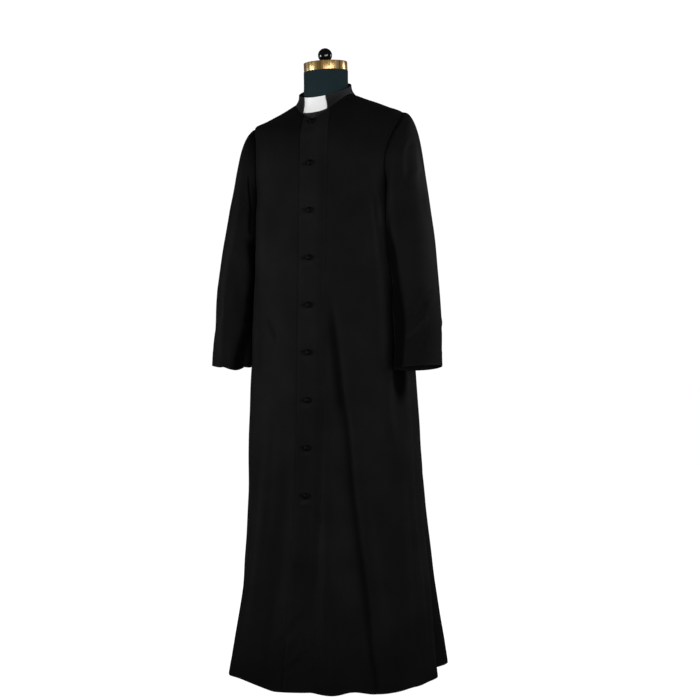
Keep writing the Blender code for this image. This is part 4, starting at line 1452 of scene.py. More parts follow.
@dataclass
class PanelCut:
    """One body panel: its edges by height, its relief and its flat size."""

    panel: Panel
    body: Body
    relief: Relief
    step: float = 0.0046
    rise: float = 0.0048
    flat: tuple[float, float] = (0.47, 1.46)
    area: float = 0.45
    samples: int = 161
    gather: float = 0.00028
    gather_in: float = 0.004
    gather_width: float = 0.007746
    seam_quiet: tuple[float, float] = (0.002, 0.030)
    # how dark the painted shade on the shoulders is, and where it rises
    shoulder_dull: float = 0.55
    shoulder_rise: tuple[float, float] = (1.28, 1.46)

    @property
    def origin(self) -> float:
        """The angle that runs are counted from."""
        return 180.0 if self.panel is Panel.BACK else 0.0

    def edges(self, heights: Array) -> tuple[Array, Array]:
        """First and last angle of each row.

        Args:
            heights: heights at the side.

        Returns:
            The first and the last angles.
        """
        spread = armhole_spread(heights)
        if self.panel is Panel.BACK:
            side = 90.0 - ARMHOLE_BACK * spread
            return self.origin - side, self.origin + side
        side = 90.0 - ARMHOLE_FRONT * spread
        if self.panel is Panel.LEFT:
            return self.body.angle_at(-lap_edge(heights), heights), side
        return -side, self.body.angle_at(UNDERLAP, heights)

    def rows(self) -> Array:
        """Heights of the rows, closer together at the hem."""
        places = edge_steps(NECK_HEIGHT - HEM_HEIGHT, self.rise, FINE_EDGE, (True, False))
        return HEM_HEIGHT + places

    def runs(self, heights: Array) -> tuple[Array, Array]:
        """Angles and the runs along the cloth at evenly spaced angles of each row.

        Args:
            heights: heights at the side.

        Returns:
            The angles and the runs, a row for each height.
        """
        first, last = self.edges(heights)
        share = np.linspace(0.0, 1.0, self.samples)
        angles = first[:, None] + (last - first)[:, None] * share
        points = self.body.points(angles, heights[:, None])
        steps = np.linalg.norm(np.diff(points, axis=1), axis=-1)
        run = np.concatenate((np.zeros((len(heights), 1)), np.cumsum(steps, axis=1)), axis=1)
        start = np.array([np.interp(self.origin, a, r) for a, r in zip(angles, run)])
        return angles, run - start[:, None]

    def chart(self) -> tuple[Array, Array, Array]:
        """Angles, runs and heights of the panel's grid.

        Returns:
            The three, a row for each height.
        """
        heights = self.rows()
        angles, run = self.runs(heights)
        widest = float((run[:, -1] - run[:, 0]).max())
        places = edge_steps(widest, self.step, FINE_EDGE, (True, True)) / widest
        first, last = run[:, :1], run[:, -1:]
        wanted = first + (last - first) * places
        # The fine places at the edges keep their distance whatever the row's width.
        fine = len(FINE_EDGE)
        wanted[:, 1 : fine + 1] = first + np.array(FINE_EDGE)
        wanted[:, -fine - 1 : -1] = last - np.array(FINE_EDGE[::-1])
        wanted = np.sort(wanted, axis=1)
        at = np.stack([np.interp(w, r, a) for w, r, a in zip(wanted, run, angles)])
        return at, wanted, np.broadcast_to(heights[:, None], at.shape)

    def lift(self, runs: Array, heights: Array) -> Array:
        """How far the left front lies out over the right one."""
        over = 1 - ease(runs, UNDERLAP, band_edge(heights))
        return LAP_LIFT * over * (self.panel is Panel.LEFT)

    def edge_distance(self, runs: Array, heights: Array) -> Array:
        """Distance along the cloth to the nearest seam or free edge."""
        sides = np.minimum(runs - runs[:, :1], runs[:, -1:] - runs)
        return np.minimum(sides, np.minimum(heights - HEM_HEIGHT, NECK_HEIGHT - heights + 0.002))

    def seam_distance(self, runs: Array, heights: Array) -> Array:
        """Distance to the seams alone, where the relief has to die away.

        Args:
            runs: metres along the cloth.
            heights: heights at the side.

        Returns:
            The distances.
        """
        left, right = runs[:, -1:] - runs, runs - runs[:, :1]
        seams = {Panel.LEFT: left, Panel.RIGHT: right, Panel.BACK: np.minimum(left, right)}
        return np.minimum(seams[self.panel], NECK_HEIGHT - heights)

    def pucker(self, seam: Array, heights: Array) -> Array:
        """Small uneven gathers along the seams.

        Args:
            seam: distance to the seam.
            heights: heights at the side.

        Returns:
            The outward heights.
        """
        wave = 0.0 * heights
        for length, share, wander, turns in PUCKERS:
            phase = wander * np.sin(heights * turns)
            wave = wave + share * np.sin(heights * 2 * math.pi / length + phase)
        return self.gather * wave * bell(seam - self.gather_in, self.gather_width)

    def quiet(self, runs: Array, heights: Array) -> Array:
        """Painted shade under the sleeve's seam, on the shoulders and over the hem.

        Args:
            runs: metres along the cloth.
            heights: heights at the side.

        Returns:
            0 to 1 at each place.
        """
        seam = np.minimum(runs - runs[:, :1], runs[:, -1:] - runs)
        beside = ease(heights, ARMPIT_HEIGHT - 0.030, ARMPIT_HEIGHT) * (heights < SHOULDER_HEIGHT)
        shoulders = self.shoulder_dull * ease(heights, *self.shoulder_rise)
        return np.maximum.reduce((beside * bell(seam, 0.0035), shoulders, low_shade(heights)))

    def hem(self, heights: Array) -> Array:
        """The turned-up hem's extra thickness."""
        return HEM_TURN * (1 - ease(heights - HEM_HEIGHT, HEM_DEPTH, HEM_DEPTH + TURN_STEP))

    def relief_at(self, runs: Array, heights: Array) -> Array:
        """The relief, quiet beside the seams and puckered along them.

        Args:
            runs: metres along the cloth.
            heights: heights at the side.

        Returns:
            The outward heights.
        """
        seam = self.seam_distance(runs, heights)
        relief = self.relief.heights(runs, heights) * ease(seam, *self.seam_quiet)
        return relief * ease(NECK_HEIGHT - heights, 0.0, NECK_FADE) + self.pucker(seam, heights)

    def sheet(self) -> Sheet:
        """The panel as a grid with its two faces.

        Returns:
            The sheet.
        """
        angles, runs, heights = self.chart()
        base = self.lift(runs, heights) + self.relief_at(runs, heights)
        edge = self.edge_distance(runs, heights)
        outer = base + WALL * rolled(edge) + self.hem(heights)
        return Sheet(
            f"{self.panel.value}_cloth",
            self.body.cloth(angles, heights, outer),
            self.body.cloth(angles, heights, base),
            runs,
            heights,
            # wear and painted highlight on edges and ridges, painted shade in troughs and in the shaded
            # zones
            np.maximum(pressed_edge_highlight(edge), self.relief.shine(runs, heights)),
            np.maximum(self.relief.hollow(runs, heights), self.quiet(runs, heights)),
        )

    def build(self) -> bpy.types.Object:
        """The finished panel in the place of its solid.

        Returns:
            The object.
        """
        thing = self.sheet().build(Finish.CLOTH)
        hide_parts(self.panel.value)
        return report(thing)


@dataclass(frozen=True)
class Mark:
    """A soft mark round or beside a button: its middle, half height and half width."""

    up: float
    across: float
    tall: float
    wide: float

    def at(self, x: Array, z: Array) -> Array:
        """How strong the mark is at places across and up from the button."""
        return bell(z - self.up, self.tall) * bell(x - self.across, self.wide)


@dataclass
class FrontBand:
    """The stitched band on the left front's edge, on the same cloth surface.

    Its edges get pressing wear and a painted highlight, set for the stitched and the free side. Each
    button draws the band in along a slant and in a hollow, and the band swells below it. Round each
    button there is painted shade, with a painted dark slit beside it and a painted highlight below
    it, and the band's lower part gets painted shade.
    """

    cut: PanelCut
    step: float = 0.0026
    rise: float = 0.0030
    stitch_in: float = 0.0050
    stitch_width: float = 0.0011
    stitch_depth: float = 0.00035
    shines: tuple[float, float] = (0.08, 0.45)
    button_run: float = -0.0015
    drawn: Mark = Mark(0.0, 0.0, 0.0055, 0.026)
    drawn_depth: float = 0.0007
    hollow: Mark = Mark(0.0, 0.0, 0.013784, 0.013784)
    hollow_depth: float = 0.0006
    swell: Mark = Mark(-0.016, -0.004, 0.007, 0.017)
    swell_height: float = 0.0005
    # painted shade beside each button, a painted highlight below it, a painted dark slit, and painted
    # shade lower down the band
    dull_beside: Mark = Mark(0.001, -0.002, 0.0065, 0.019)
    pressed_below: Mark = Mark(-0.015, -0.003, 0.0050, 0.014)
    slit_height: float = 0.0022
    slit_dark: float = 0.95
    slit_ends: tuple[float, float, float, float] = (-0.0225, -0.0165, 0.002, 0.007)
    low_dark: float = 0.22
    low_dark_top: tuple[float, float] = (0.60, 0.95)

    def grid(self) -> tuple[Array, Array, Array]:
        """Angles, runs and heights of the band's grid.

        Returns:
            The three, a row for each height.
        """
        body = self.cut.body
        rows = edge_steps(NECK_HEIGHT - HEM_HEIGHT, self.rise, FINE_EDGE[:3], (True, False))
        heights = HEM_HEIGHT + rows
        lap, edge = lap_edge(heights), band_edge(heights)
        widest = float((lap + edge).max())
        places = edge_steps(widest, self.step, FINE_EDGE[:4], (True, True)) / widest
        across = -lap[:, None] + (lap + edge)[:, None] * places
        angles = body.angle_at(across, heights[:, None])
        return angles, across, np.broadcast_to(heights[:, None], angles.shape)

    def button_marks(
        self, runs: Array, heights: Array, buttons: Sequence[float]
    ) -> tuple[Array, Array, Array]:
        """The pulls that the buttons draw in the band, with their painted shade and highlight, stronger
        lower down.

        Args:
            runs: runs of the band's points.
            heights: their heights.
            buttons: side heights of the buttons.

        Returns:
            How far the band stands out, its painted shade and its painted highlight, at each point.
        """
        out, painted_highlight_marks = np.zeros(runs.shape), np.zeros(runs.shape)
        # painted shade, darker over the band's lower part
        dull = self.low_dark * (1 - ease(heights, *self.low_dark_top))
        start, full, fade, end = self.slit_ends
        for number, button in enumerate(buttons):
            x, z = runs - self.button_run, heights - button
            slant = z - 0.16 * math.sin(2.3 * number) * x
            out -= self.drawn_depth * self.drawn.at(x, slant)
            out -= self.hollow_depth * self.hollow.at(x, z)
            out += self.swell_height * self.swell.at(x, z)
            strength = 0.2 + 0.08 * number
            # the slit is painted dark, with painted shade round the button and a painted highlight below
            # it
            slit = self.slit_dark * ease(x, start, full) * (1 - ease(x, fade, end))
            slit = slit * bell(slant, self.slit_height)
            dull = np.maximum.reduce((dull, slit, strength * self.dull_beside.at(x, z)))
            painted_highlight_marks = np.maximum(painted_highlight_marks, strength * self.pressed_below.at(x, z))
        return out, dull, painted_highlight_marks

    def sheet(self, buttons: Sequence[float]) -> Sheet:
        """The band as a grid with its two faces.

        Args:
            buttons: side heights of the buttons.

        Returns:
            The sheet.
        """
        body, relief = self.cut.body, self.cut.relief
        angles, runs, heights = self.grid()
        base = self.cut.lift(runs, heights) + WALL + SEAM_GAP
        base = base + relief.heights(runs, heights) * ease(NECK_HEIGHT - heights, 0.0, NECK_FADE)
        beyond, stitched = runs[:, -1:] - runs, runs > 0
        sides = np.minimum(beyond, runs - runs[:, :1])
        edge = np.minimum(sides, heights - HEM_HEIGHT)
        crisp = np.where(stitched, 0.55 * ease(heights, 1.00, 1.25), 0.7 * ease(heights, 0.10, 0.80) + 0.3)
        thick = 1 - (1 - crisp) * (1 - ease(beyond, 0.0, 0.016)) * stitched
        out, dull, painted_highlight_marks = self.button_marks(runs, heights, buttons)
        stitch = self.stitch_depth * crisp * bell(sides - self.stitch_in, self.stitch_width)
        outer = base + BAND_WALL * rolled(edge, 0.0014, 0.35) * thick + out - stitch
        outer = np.maximum(outer, base + 0.0003)
        # pressing wear and a painted highlight along the band's edges
        wear = np.where(stitched, *self.shines) * bell(edge - PRESS_IN, PRESS_SHARP)
        return Sheet(
            "front_band_cloth",
            body.cloth(angles, heights, outer),
            body.cloth(angles, heights, base),
            runs,
            heights,
            np.maximum.reduce((wear, painted_highlight_marks, relief.shine(runs, heights))),
            np.maximum.reduce((dull, low_shade(heights), relief.hollow(runs, heights))),
        )

    def build(self, buttons: Sequence[float]) -> bpy.types.Object:
        """The finished band in the place of its solid.

        Args:
            buttons: side heights of the buttons.

        Returns:
            The object.
        """
        thing = self.sheet(buttons).build(Finish.BAND)
        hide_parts("front_band")
        return report(thing)


@dataclass
class Sleeve:
    """A set-in sleeve with an open, turned-up cuff.

    side is 1 for the wearer's left and -1 for the right. cuff has the swells of its edge line,
    its painted shade lower down has a strength of its own, and taper brings the rings at the head closer.
    """

    body: Body
    side: int
    relief: Relief
    cuff: tuple[tuple[float, float, float], ...] = ()
    dull: float = 0.0
    taper: float = 1.12
    gather: float = 0.0005
    columns: int = 132
    rings: int = 176
    ring: Curves = field(default_factory=lambda: Curves(SLEEVE_SECTIONS))
    round_length: float = 0.40
    arm_length: float = 0.62

    @property
    def node(self) -> str:
        """Name of the sleeve's solid."""
        return "sleeve_left" if self.side > 0 else "sleeve_right"

    def armhole(self, degrees: Array, margin: float) -> Array:
        """Points round the armhole, on the panels' outside.

        Args:
            degrees: angles round the sleeve, from the shoulder point forwards.
            margin: how far past the armhole's edge they lie.

        Returns:
            The points.
        """
        middle = 0.5 * (ARMPIT_HEIGHT + SHOULDER_HEIGHT)
        half = 0.5 * (SHOULDER_HEIGHT - ARMPIT_HEIGHT)
        heights = middle + half * np.cos(np.radians(degrees))
        front = degrees < 180.0
        rise = np.where(heights < middle, margin, margin * SHOULDER_SLOPE)
        wider = middle + (heights - middle) * (half + rise) / half
        spread = np.where(front, ARMHOLE_FRONT, ARMHOLE_BACK) + math.degrees(margin / 0.18)
        way = np.where(front, -1.0, 1.0)
        angles = 90.0 + way * spread * armhole_spread(heights)
        return self.body.cloth(self.side * angles, wider, WALL + SLEEVE_GAP)

    def folds(self, along: Array, degrees: Array) -> Array:
        """Outward height of the sleeve's own soft folds.

        Args:
            along: how far down, from 0 to 1.
            degrees: angles round the sleeve.

        Returns:
            The outward heights.
        """
        total = np.zeros(np.broadcast(along, degrees).shape)
        for fold in SLEEVE_FOLDS:
            run = along - fold.along
            off = angle_between(degrees, fold.angle + fold.skew * run)
            total += fold.depth * bell(run, fold.length) * bell(off, fold.spread)
        return total

    def cuff_line(self, degrees: Array) -> Array:
        """How much higher the cuff's edge hangs, by the swells (run, width, lift) in cuff.

        Args:
            degrees: angles round the sleeve.

        Returns:
            The rises.
        """
        whole = self.round_length
        runs = degrees / 360.0 * whole
        total = np.zeros(runs.shape)
        for run, wide, lift in self.cuff:
            off = (runs - run + whole / 2) % whole - whole / 2
            total += lift * bell(off, wide)
        return total

    def rings_at(self, place: Array, degrees: Array) -> Array:
        """Outer points of the sleeve's rings, before the relief.

        Args:
            place: how far down the rings are, from 0 to 1, a row for each ring.
            degrees: angles round the sleeve.

        Returns:
            The points, a row for each ring.
        """
        shape = self.ring.read
        outer_x, inner_x = shape("outer_x", place), shape("inner_x", place)
        outer_z, inner_z = shape("outer_z", place), shape("inner_z", place)
        cos, sin = np.cos(np.radians(degrees)), np.sin(np.radians(degrees))
        turn = np.radians(shape("turn", place))
        half, depth = 0.5 * (outer_x - inner_x) * cos, shape("depth", place) * sin
        x, y = half - np.sin(turn) * depth, -np.sin(turn) * half - np.cos(turn) * depth
        way = np.stack((x, y, 0.5 * (outer_z - inner_z) * cos), axis=-1)
        middle = (0.5 * (outer_x + inner_x), shape("middle", place), 0.5 * (outer_z + inner_z))
        swell = self.folds(place, degrees if self.side > 0 else degrees + 12.0) * shape("own", place)
        points = np.stack(middle, axis=-1) + way + unit(way) * swell[..., None]
        return leaned(points * np.array([self.side, 1.0, 1.0]))

    def shape(self, degrees: Array, along: Array) -> Array:
        """Outer points of the whole sleeve, from the armhole to the cuff's edge line.

        Args:
            degrees: angles round the sleeve.
            along: how far down the rings are, from 0 to 1.

        Returns:
            The points, a row for each ring.
        """
        lifted = self.cuff_line(degrees) / self.arm_length * ease(along, 0.70, 1.0)[:, None]
        places = along[:, None] - lifted
        # Where the cuff hangs lower, the sleeve goes straight on past its last ring.
        step = 0.01
        last = self.rings_at(np.array([[1.0 - step], [1.0]]), degrees)
        past = np.maximum(places - 1.0, 0.0)[..., None] * (last[1] - last[0]) / step
        head = self.armhole(degrees, WALL) - self.rings_at(np.zeros((1, 1)), degrees)[0]
        own = self.ring.read("own", along)[:, None, None]
        return self.rings_at(places, degrees) + past + head * (1 - own)

    def sheet(self) -> Sheet:
        """The sleeve as a closed grid of rings with its two faces.

        Returns:
            The sheet.
        """
        degrees = np.arange(self.columns) * 360.0 / self.columns
        lengths = edge_steps(self.arm_length, self.arm_length / self.rings, FINE_EDGE, (True, True))
        along = (lengths / self.arm_length) ** self.taper
        outer = self.shape(degrees, along)
        normals = ring_normals(outer) * self.side
        down = np.broadcast_to((along * self.arm_length)[:, None], outer.shape[:2])
        runs = np.broadcast_to(degrees / 360.0 * self.round_length, outer.shape[:2])
        to_cuff = np.maximum(self.arm_length - down, 0.0)
        hem = HEM_TURN * (1 - ease(to_cuff, CUFF_DEPTH, CUFF_DEPTH + TURN_STEP))
        height = self.wrapped(self.relief.heights, runs, down) * ease(down, 0.004, 0.040)
        height = height + self.head_ease(degrees, down) + hem
        outer = outer + normals * height[..., None]
        inner = outer - normals * (WALL * rolled(to_cuff) + hem)[..., None]
        inner[0] = self.armhole(degrees, 0.0)
        # wear and painted highlight on ridges and pressed edges; painted shade in troughs, as a dark line
        # along the head's seam and lower down
        wear = self.wrapped(self.relief.shine, runs, down)
        wear = np.maximum(wear, pressed_edge_highlight(np.minimum(down, to_cuff)))
        hollow = self.wrapped(self.relief.hollow, runs, down)
        dull = self.dull * ease(down, 0.36, 0.56)
        hollow = np.maximum.reduce((hollow, bell(down, 0.0035), dull))
        return Sheet(f"{self.node}_cloth", outer, inner, runs, down, wear, hollow, closed=True)

    def wrapped(self, reading: Callable[[Array, Array], Array], runs: Array, downs: Array) -> Array:
        """A reading of the relief made to meet itself round the sleeve."""
        share = ease(runs / self.round_length, 0.86, 1.0)
        return mix(reading(runs, downs), reading(runs - self.round_length, downs), share)

    def head_ease(self, degrees: Array, downs: Array) -> Array:
        """Small gathers where the sleeve's head is eased into the armhole."""
        wave = np.sin(np.radians(degrees) * 21 + 1.3 * np.sin(np.radians(degrees) * 5))
        return self.gather * wave * bell(downs - 0.010, 0.010)

    def build(self) -> bpy.types.Object:
        """The finished sleeve in the place of its solid.

        Returns:
            The object.
        """
        thing = self.sheet().build(Finish.CLOTH)
        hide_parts(self.node)
        return report(thing)


@dataclass
class Collar:
    """The stand collar with its notch, and the white tab behind it."""

    body: Body
    rows: int = 22
    notch_round: float = 0.6
    girth: float = 0.42
    height: float = 0.040
    half_gap: float = 0.14
    tab_degree: float = 0.00118
    bow: float = 0.0025
    # painted highlight round the collar's sides, and the angles over which it grows
    wrinkle: float = 0.00035
    shine: float = 1.6
    shine_angles: tuple[float, float] = (36.0, 80.0)
    notch_steps: tuple[float, ...] = (0.0, 0.02, 0.08, 0.2, 0.4, 0.7, 1.0)
    beyond_steps: tuple[float, ...] = (0.25, 0.6, 1.1, 1.8, 2.8)
    rest_from: float = 4.0
    edge_rows: tuple[float, ...] = (0.0, 0.012, 0.03, 0.06)
    turned_back_to: float = 75.0
    tab_ends: tuple[float, ...] = (0.0, 0.15, 0.4, 0.8)
    tab_inside: float = 1.4
    tab_edge_rows: tuple[float, ...] = (0.0, 0.004, 0.012)
    tab_rows_inside: float = 0.025
    stitch_in: float = 0.0045
    stitch_width: float = 0.0009
    stitch_depth: float = 0.00022

    def run(self, degrees: Array) -> Array:
        """Metres round the collar that the degrees take up."""
        return degrees / 360.0 * self.girth

    def points(self, angles: Array, shares: Array, out: Array) -> Array:
        """Points of the collar's inner face, a share of the way up, moved out level.

        Args:
            angles: degrees round the body from the centre front.
            shares: how far up the collar, from 0 to 1.
            out: distance outwards.

        Returns:
            The points.
        """
        angles, shares = np.broadcast_arrays(angles, shares)
        across, ahead = np.sin(np.radians(angles)), np.cos(np.radians(angles))
        under_band = 1.0 - ease(np.abs(angle_between(angles, 0.0)), 30.0, 60.0)
        seam = self.body.points(angles, NECK_HEIGHT)
        rise = self.body.normals(angles, NECK_HEIGHT)[..., 2]
        seam[..., 2] += mix(WALL, BAND_OUT, under_band) * rise + COLLAR_GAP
        top = tilted_ring(COLLAR_CENTRE, COLLAR_WIDTH, COLLAR_DEPTH, COLLAR_TILT, angles)
        bow = self.bow * np.sin(math.pi * shares)
        level = np.stack((across, -ahead, 0.0 * across), axis=-1)
        return mix(seam, top, shares[..., None]) + level * (out - bow)[..., None]

    def top_share(self, angles: Array) -> Array:
        """How far up the collar reaches: cut down to its strip across the notch.

        Args:
            angles: degrees round the body from the centre front.

        Returns:
            The top edge as a share of the whole height.
        """
        off = np.abs(angle_between(angles, 0.0))
        t = np.clip((off - NOTCH_ANGLE_FOOT + self.notch_round) / self.notch_round, 0.0, 1.0)
        strip = mix(NOTCH_FOOT, NOTCH_CORNER, np.minimum(off / NOTCH_ANGLE_FOOT, 1.0) ** 2)
        rise = np.where(off < NOTCH_ANGLE_FOOT, 1 - np.sqrt(1 - t**2.6), 1.0)
        return mix(strip, 1.0, rise)

    def columns(self) -> Array:
        """Angles of the columns, closest together at the notch's two sides.

        Returns:
            The angles from the centre front all the way round.
        """
        side = NOTCH_ANGLE_FOOT
        near = self.notch_round * np.array(self.notch_steps)
        front = np.linspace(self.half_gap + 0.02, side - self.notch_round, 20)[:-1]
        corner = side - near[::-1]
        beyond = side + np.array(self.beyond_steps)
        rest = np.linspace(side + self.rest_from, 180.0, 90)
        half = np.concatenate((front, corner, beyond, rest))
        return np.concatenate((half, 360.0 - half[-2::-1]))

    def sheet(self) -> Sheet:
        """The collar as a grid with its two faces.

        Returns:
            The sheet.
        """
        angles = self.columns()
        *close, inside = self.edge_rows
        middle = np.linspace(inside, 1 - inside, self.rows)
        share = np.concatenate((close, middle, 1 - np.array(close[::-1])))
        tops = self.top_share(angles)
        shares = share[:, None] * tops
        off = angle_between(angles, 0.0)
        far = np.abs(off)
        narrow = mix(1.0, NOTCH_ANGLE_TOP / NOTCH_ANGLE_FOOT, ease(shares, NOTCH_FOOT, 1.0))
        turned = off * mix(1.0, narrow, 1 - ease(far, NOTCH_ANGLE_FOOT, self.turned_back_to))
        turned = np.where(np.abs(turned) < self.half_gap, np.sign(off) * self.half_gap, turned)
        runs = np.broadcast_to(self.run(off), shares.shape)
        top_gap = (tops - shares) * self.height
        edge = np.minimum(top_gap, self.run(far - self.half_gap))
        wave = np.sin(runs * 150 + 2 * np.sin(runs * 37)) * np.sin(math.pi * shares)
        stitch = self.stitch_depth * bell(top_gap - self.stitch_in, self.stitch_width)
        outer = WALL * rolled(np.maximum(edge, 0.0), 0.0012, 0.35) + self.wrinkle * wave - stitch
        return Sheet(
            "collar_cloth",
            self.points(turned, shares, outer),
            self.points(turned, shares, np.zeros(shares.shape)),
            runs,
            shares * self.height,
            # wear and painted highlight on the pressed top edge, painted highlight round the sides
            np.maximum(bell(edge - 0.0010, PRESS_SHARP), self.shine * ease(far, *self.shine_angles)),
        )

    def tab_sheet(self) -> Sheet:
        """The white tab as a thin curved strip behind the notch.

        Returns:
            The sheet.
        """
        low, high = TAB_REACH
        ends, fine = np.array(self.tab_ends), np.array(self.tab_edge_rows)
        across = np.linspace(self.tab_inside - TAB_ANGLE, TAB_ANGLE - self.tab_inside, 64)
        angles = np.concatenate((ends - TAB_ANGLE, across, TAB_ANGLE - ends[::-1]))
        middle = np.linspace(low + self.tab_rows_inside, high - self.tab_rows_inside, 22)
        shares = np.concatenate((low + fine, middle, high - fine[::-1]))
        turned, up = np.meshgrid(angles, shares)
        edge = np.minimum(high - up, up - low) * self.height
        edge = np.minimum(edge, np.abs(TAB_ANGLE - np.abs(turned)) * self.tab_degree)
        front = -2 * SEAM_GAP - TAB_WALL * (1 - rolled(np.maximum(edge, 0.0), 0.0006, 0.5))
        return Sheet(
            "collar_tab_white",
            self.points(turned, up, front),
            self.points(turned, up, np.full(turned.shape, -2 * SEAM_GAP - TAB_WALL)),
            self.run(turned),
            up * self.height,
            0.0 * up,
        )

    def build(self) -> None:
        """The finished collar and tab in the places of their solids."""
        collar = self.sheet().build(Finish.COLLAR)
        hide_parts("collar")
        report(collar)
        tab = self.tab_sheet().build(Finish.TAB)
        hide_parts("collar_tab")
        report(tab)


# ------------------------------------------------------------------ modelling by operator
class Modeller:
    """The few operator steps that the turned and moulded pieces share."""

    @staticmethod
    def clear_selection() -> None:
        """Deselects everything."""
        if bpy.context.mode != "OBJECT":
            bpy.ops.object.mode_set(mode="OBJECT")
        bpy.ops.object.select_all(action="DESELECT")

    @staticmethod
    def take(thing: bpy.types.Object) -> None:
        """Makes one object the only selected and the active one.

        Args:
            thing: the object.
        """
        Modeller.clear_selection()
        thing.select_set(True)
        bpy.context.view_layer.objects.active = thing

    @staticmethod
    def named(name: str) -> bpy.types.Object:
        """Names the object that an operator has just added.

        Args:
            name: the object's and the mesh's name.

        Returns:
            The object.
        """
        thing = bpy.context.active_object
        thing.name = name
        thing.data.name = name
        return thing

    @staticmethod
    def settle(thing: bpy.types.Object, placing: Matrix) -> None:
        """Puts a piece in place in its mesh and leaves its object at the origin."""
        thing.data.transform(placing @ thing.matrix_basis)
        thing.matrix_basis = Matrix.Identity(4)

    @staticmethod
    def smooth(thing: bpy.types.Object, degrees: float) -> None:
        """Shades smooth up to an angle."""
        Modeller.take(thing)
        bpy.ops.object.shade_smooth_by_angle(angle=math.radians(degrees))

    @staticmethod
    def bevel(thing: bpy.types.Object, width: float, segments: int, degrees: float) -> None:
        """Rounds a piece's sharp edges.

        Args:
            thing: the object.
            width: width of the rounding.
            segments: how many strips it has.
            degrees: the angle from which an edge counts as sharp.
        """
        Modeller.take(thing)
        modifier = thing.modifiers.new("bevel", "BEVEL")
        modifier.width, modifier.segments = width, segments
        modifier.limit_method, modifier.angle_limit = "ANGLE", math.radians(degrees)
        bpy.ops.object.modifier_apply(modifier=modifier.name)

    @staticmethod
    def edit_all() -> None:
        """Goes to edit mode with everything selected."""
        bpy.ops.object.mode_set(mode="EDIT")
        bpy.ops.mesh.select_all(action="SELECT")

    @staticmethod
    def cut_below(height: float) -> None:
        """Cuts away what lies under a height, closes the cut and stays in edit mode.

        Args:
            height: height of the cut.
        """
        Modeller.edit_all()
        level = {"plane_co": (0.0, 0.0, height), "plane_no": (0.0, 0.0, 1.0)}
        bpy.ops.mesh.bisect(**level, use_fill=True, clear_inner=True)
        bpy.ops.mesh.select_all(action="SELECT")

    @staticmethod
    def copy(thing: bpy.types.Object, name: str) -> bpy.types.Object:
        """A copy with a mesh of its own.

        Args:
            thing: the object.
            name: the copy's name.

        Returns:
            The copy.
        """
        twin = thing.copy()
        twin.data = thing.data.copy()
        twin.name = name
        twin.data.name = name
        bpy.context.scene.collection.objects.link(twin)
        return twin

    @staticmethod
    def select_faces(thing: bpy.types.Object, wanted: Callable[[bpy.types.MeshPolygon], bool]) -> None:
        """Goes to edit mode with only the wanted faces selected.

        Args:
            thing: the object.
            wanted: says whether a face is wanted.
        """
        Modeller.take(thing)
        bpy.ops.object.mode_set(mode="EDIT")
        bpy.ops.mesh.select_all(action="DESELECT")
        bpy.ops.mesh.select_mode(type="FACE")
        bpy.ops.object.mode_set(mode="OBJECT")
        for face in thing.data.polygons:
            face.select = wanted(face)
        bpy.ops.object.mode_set(mode="EDIT")


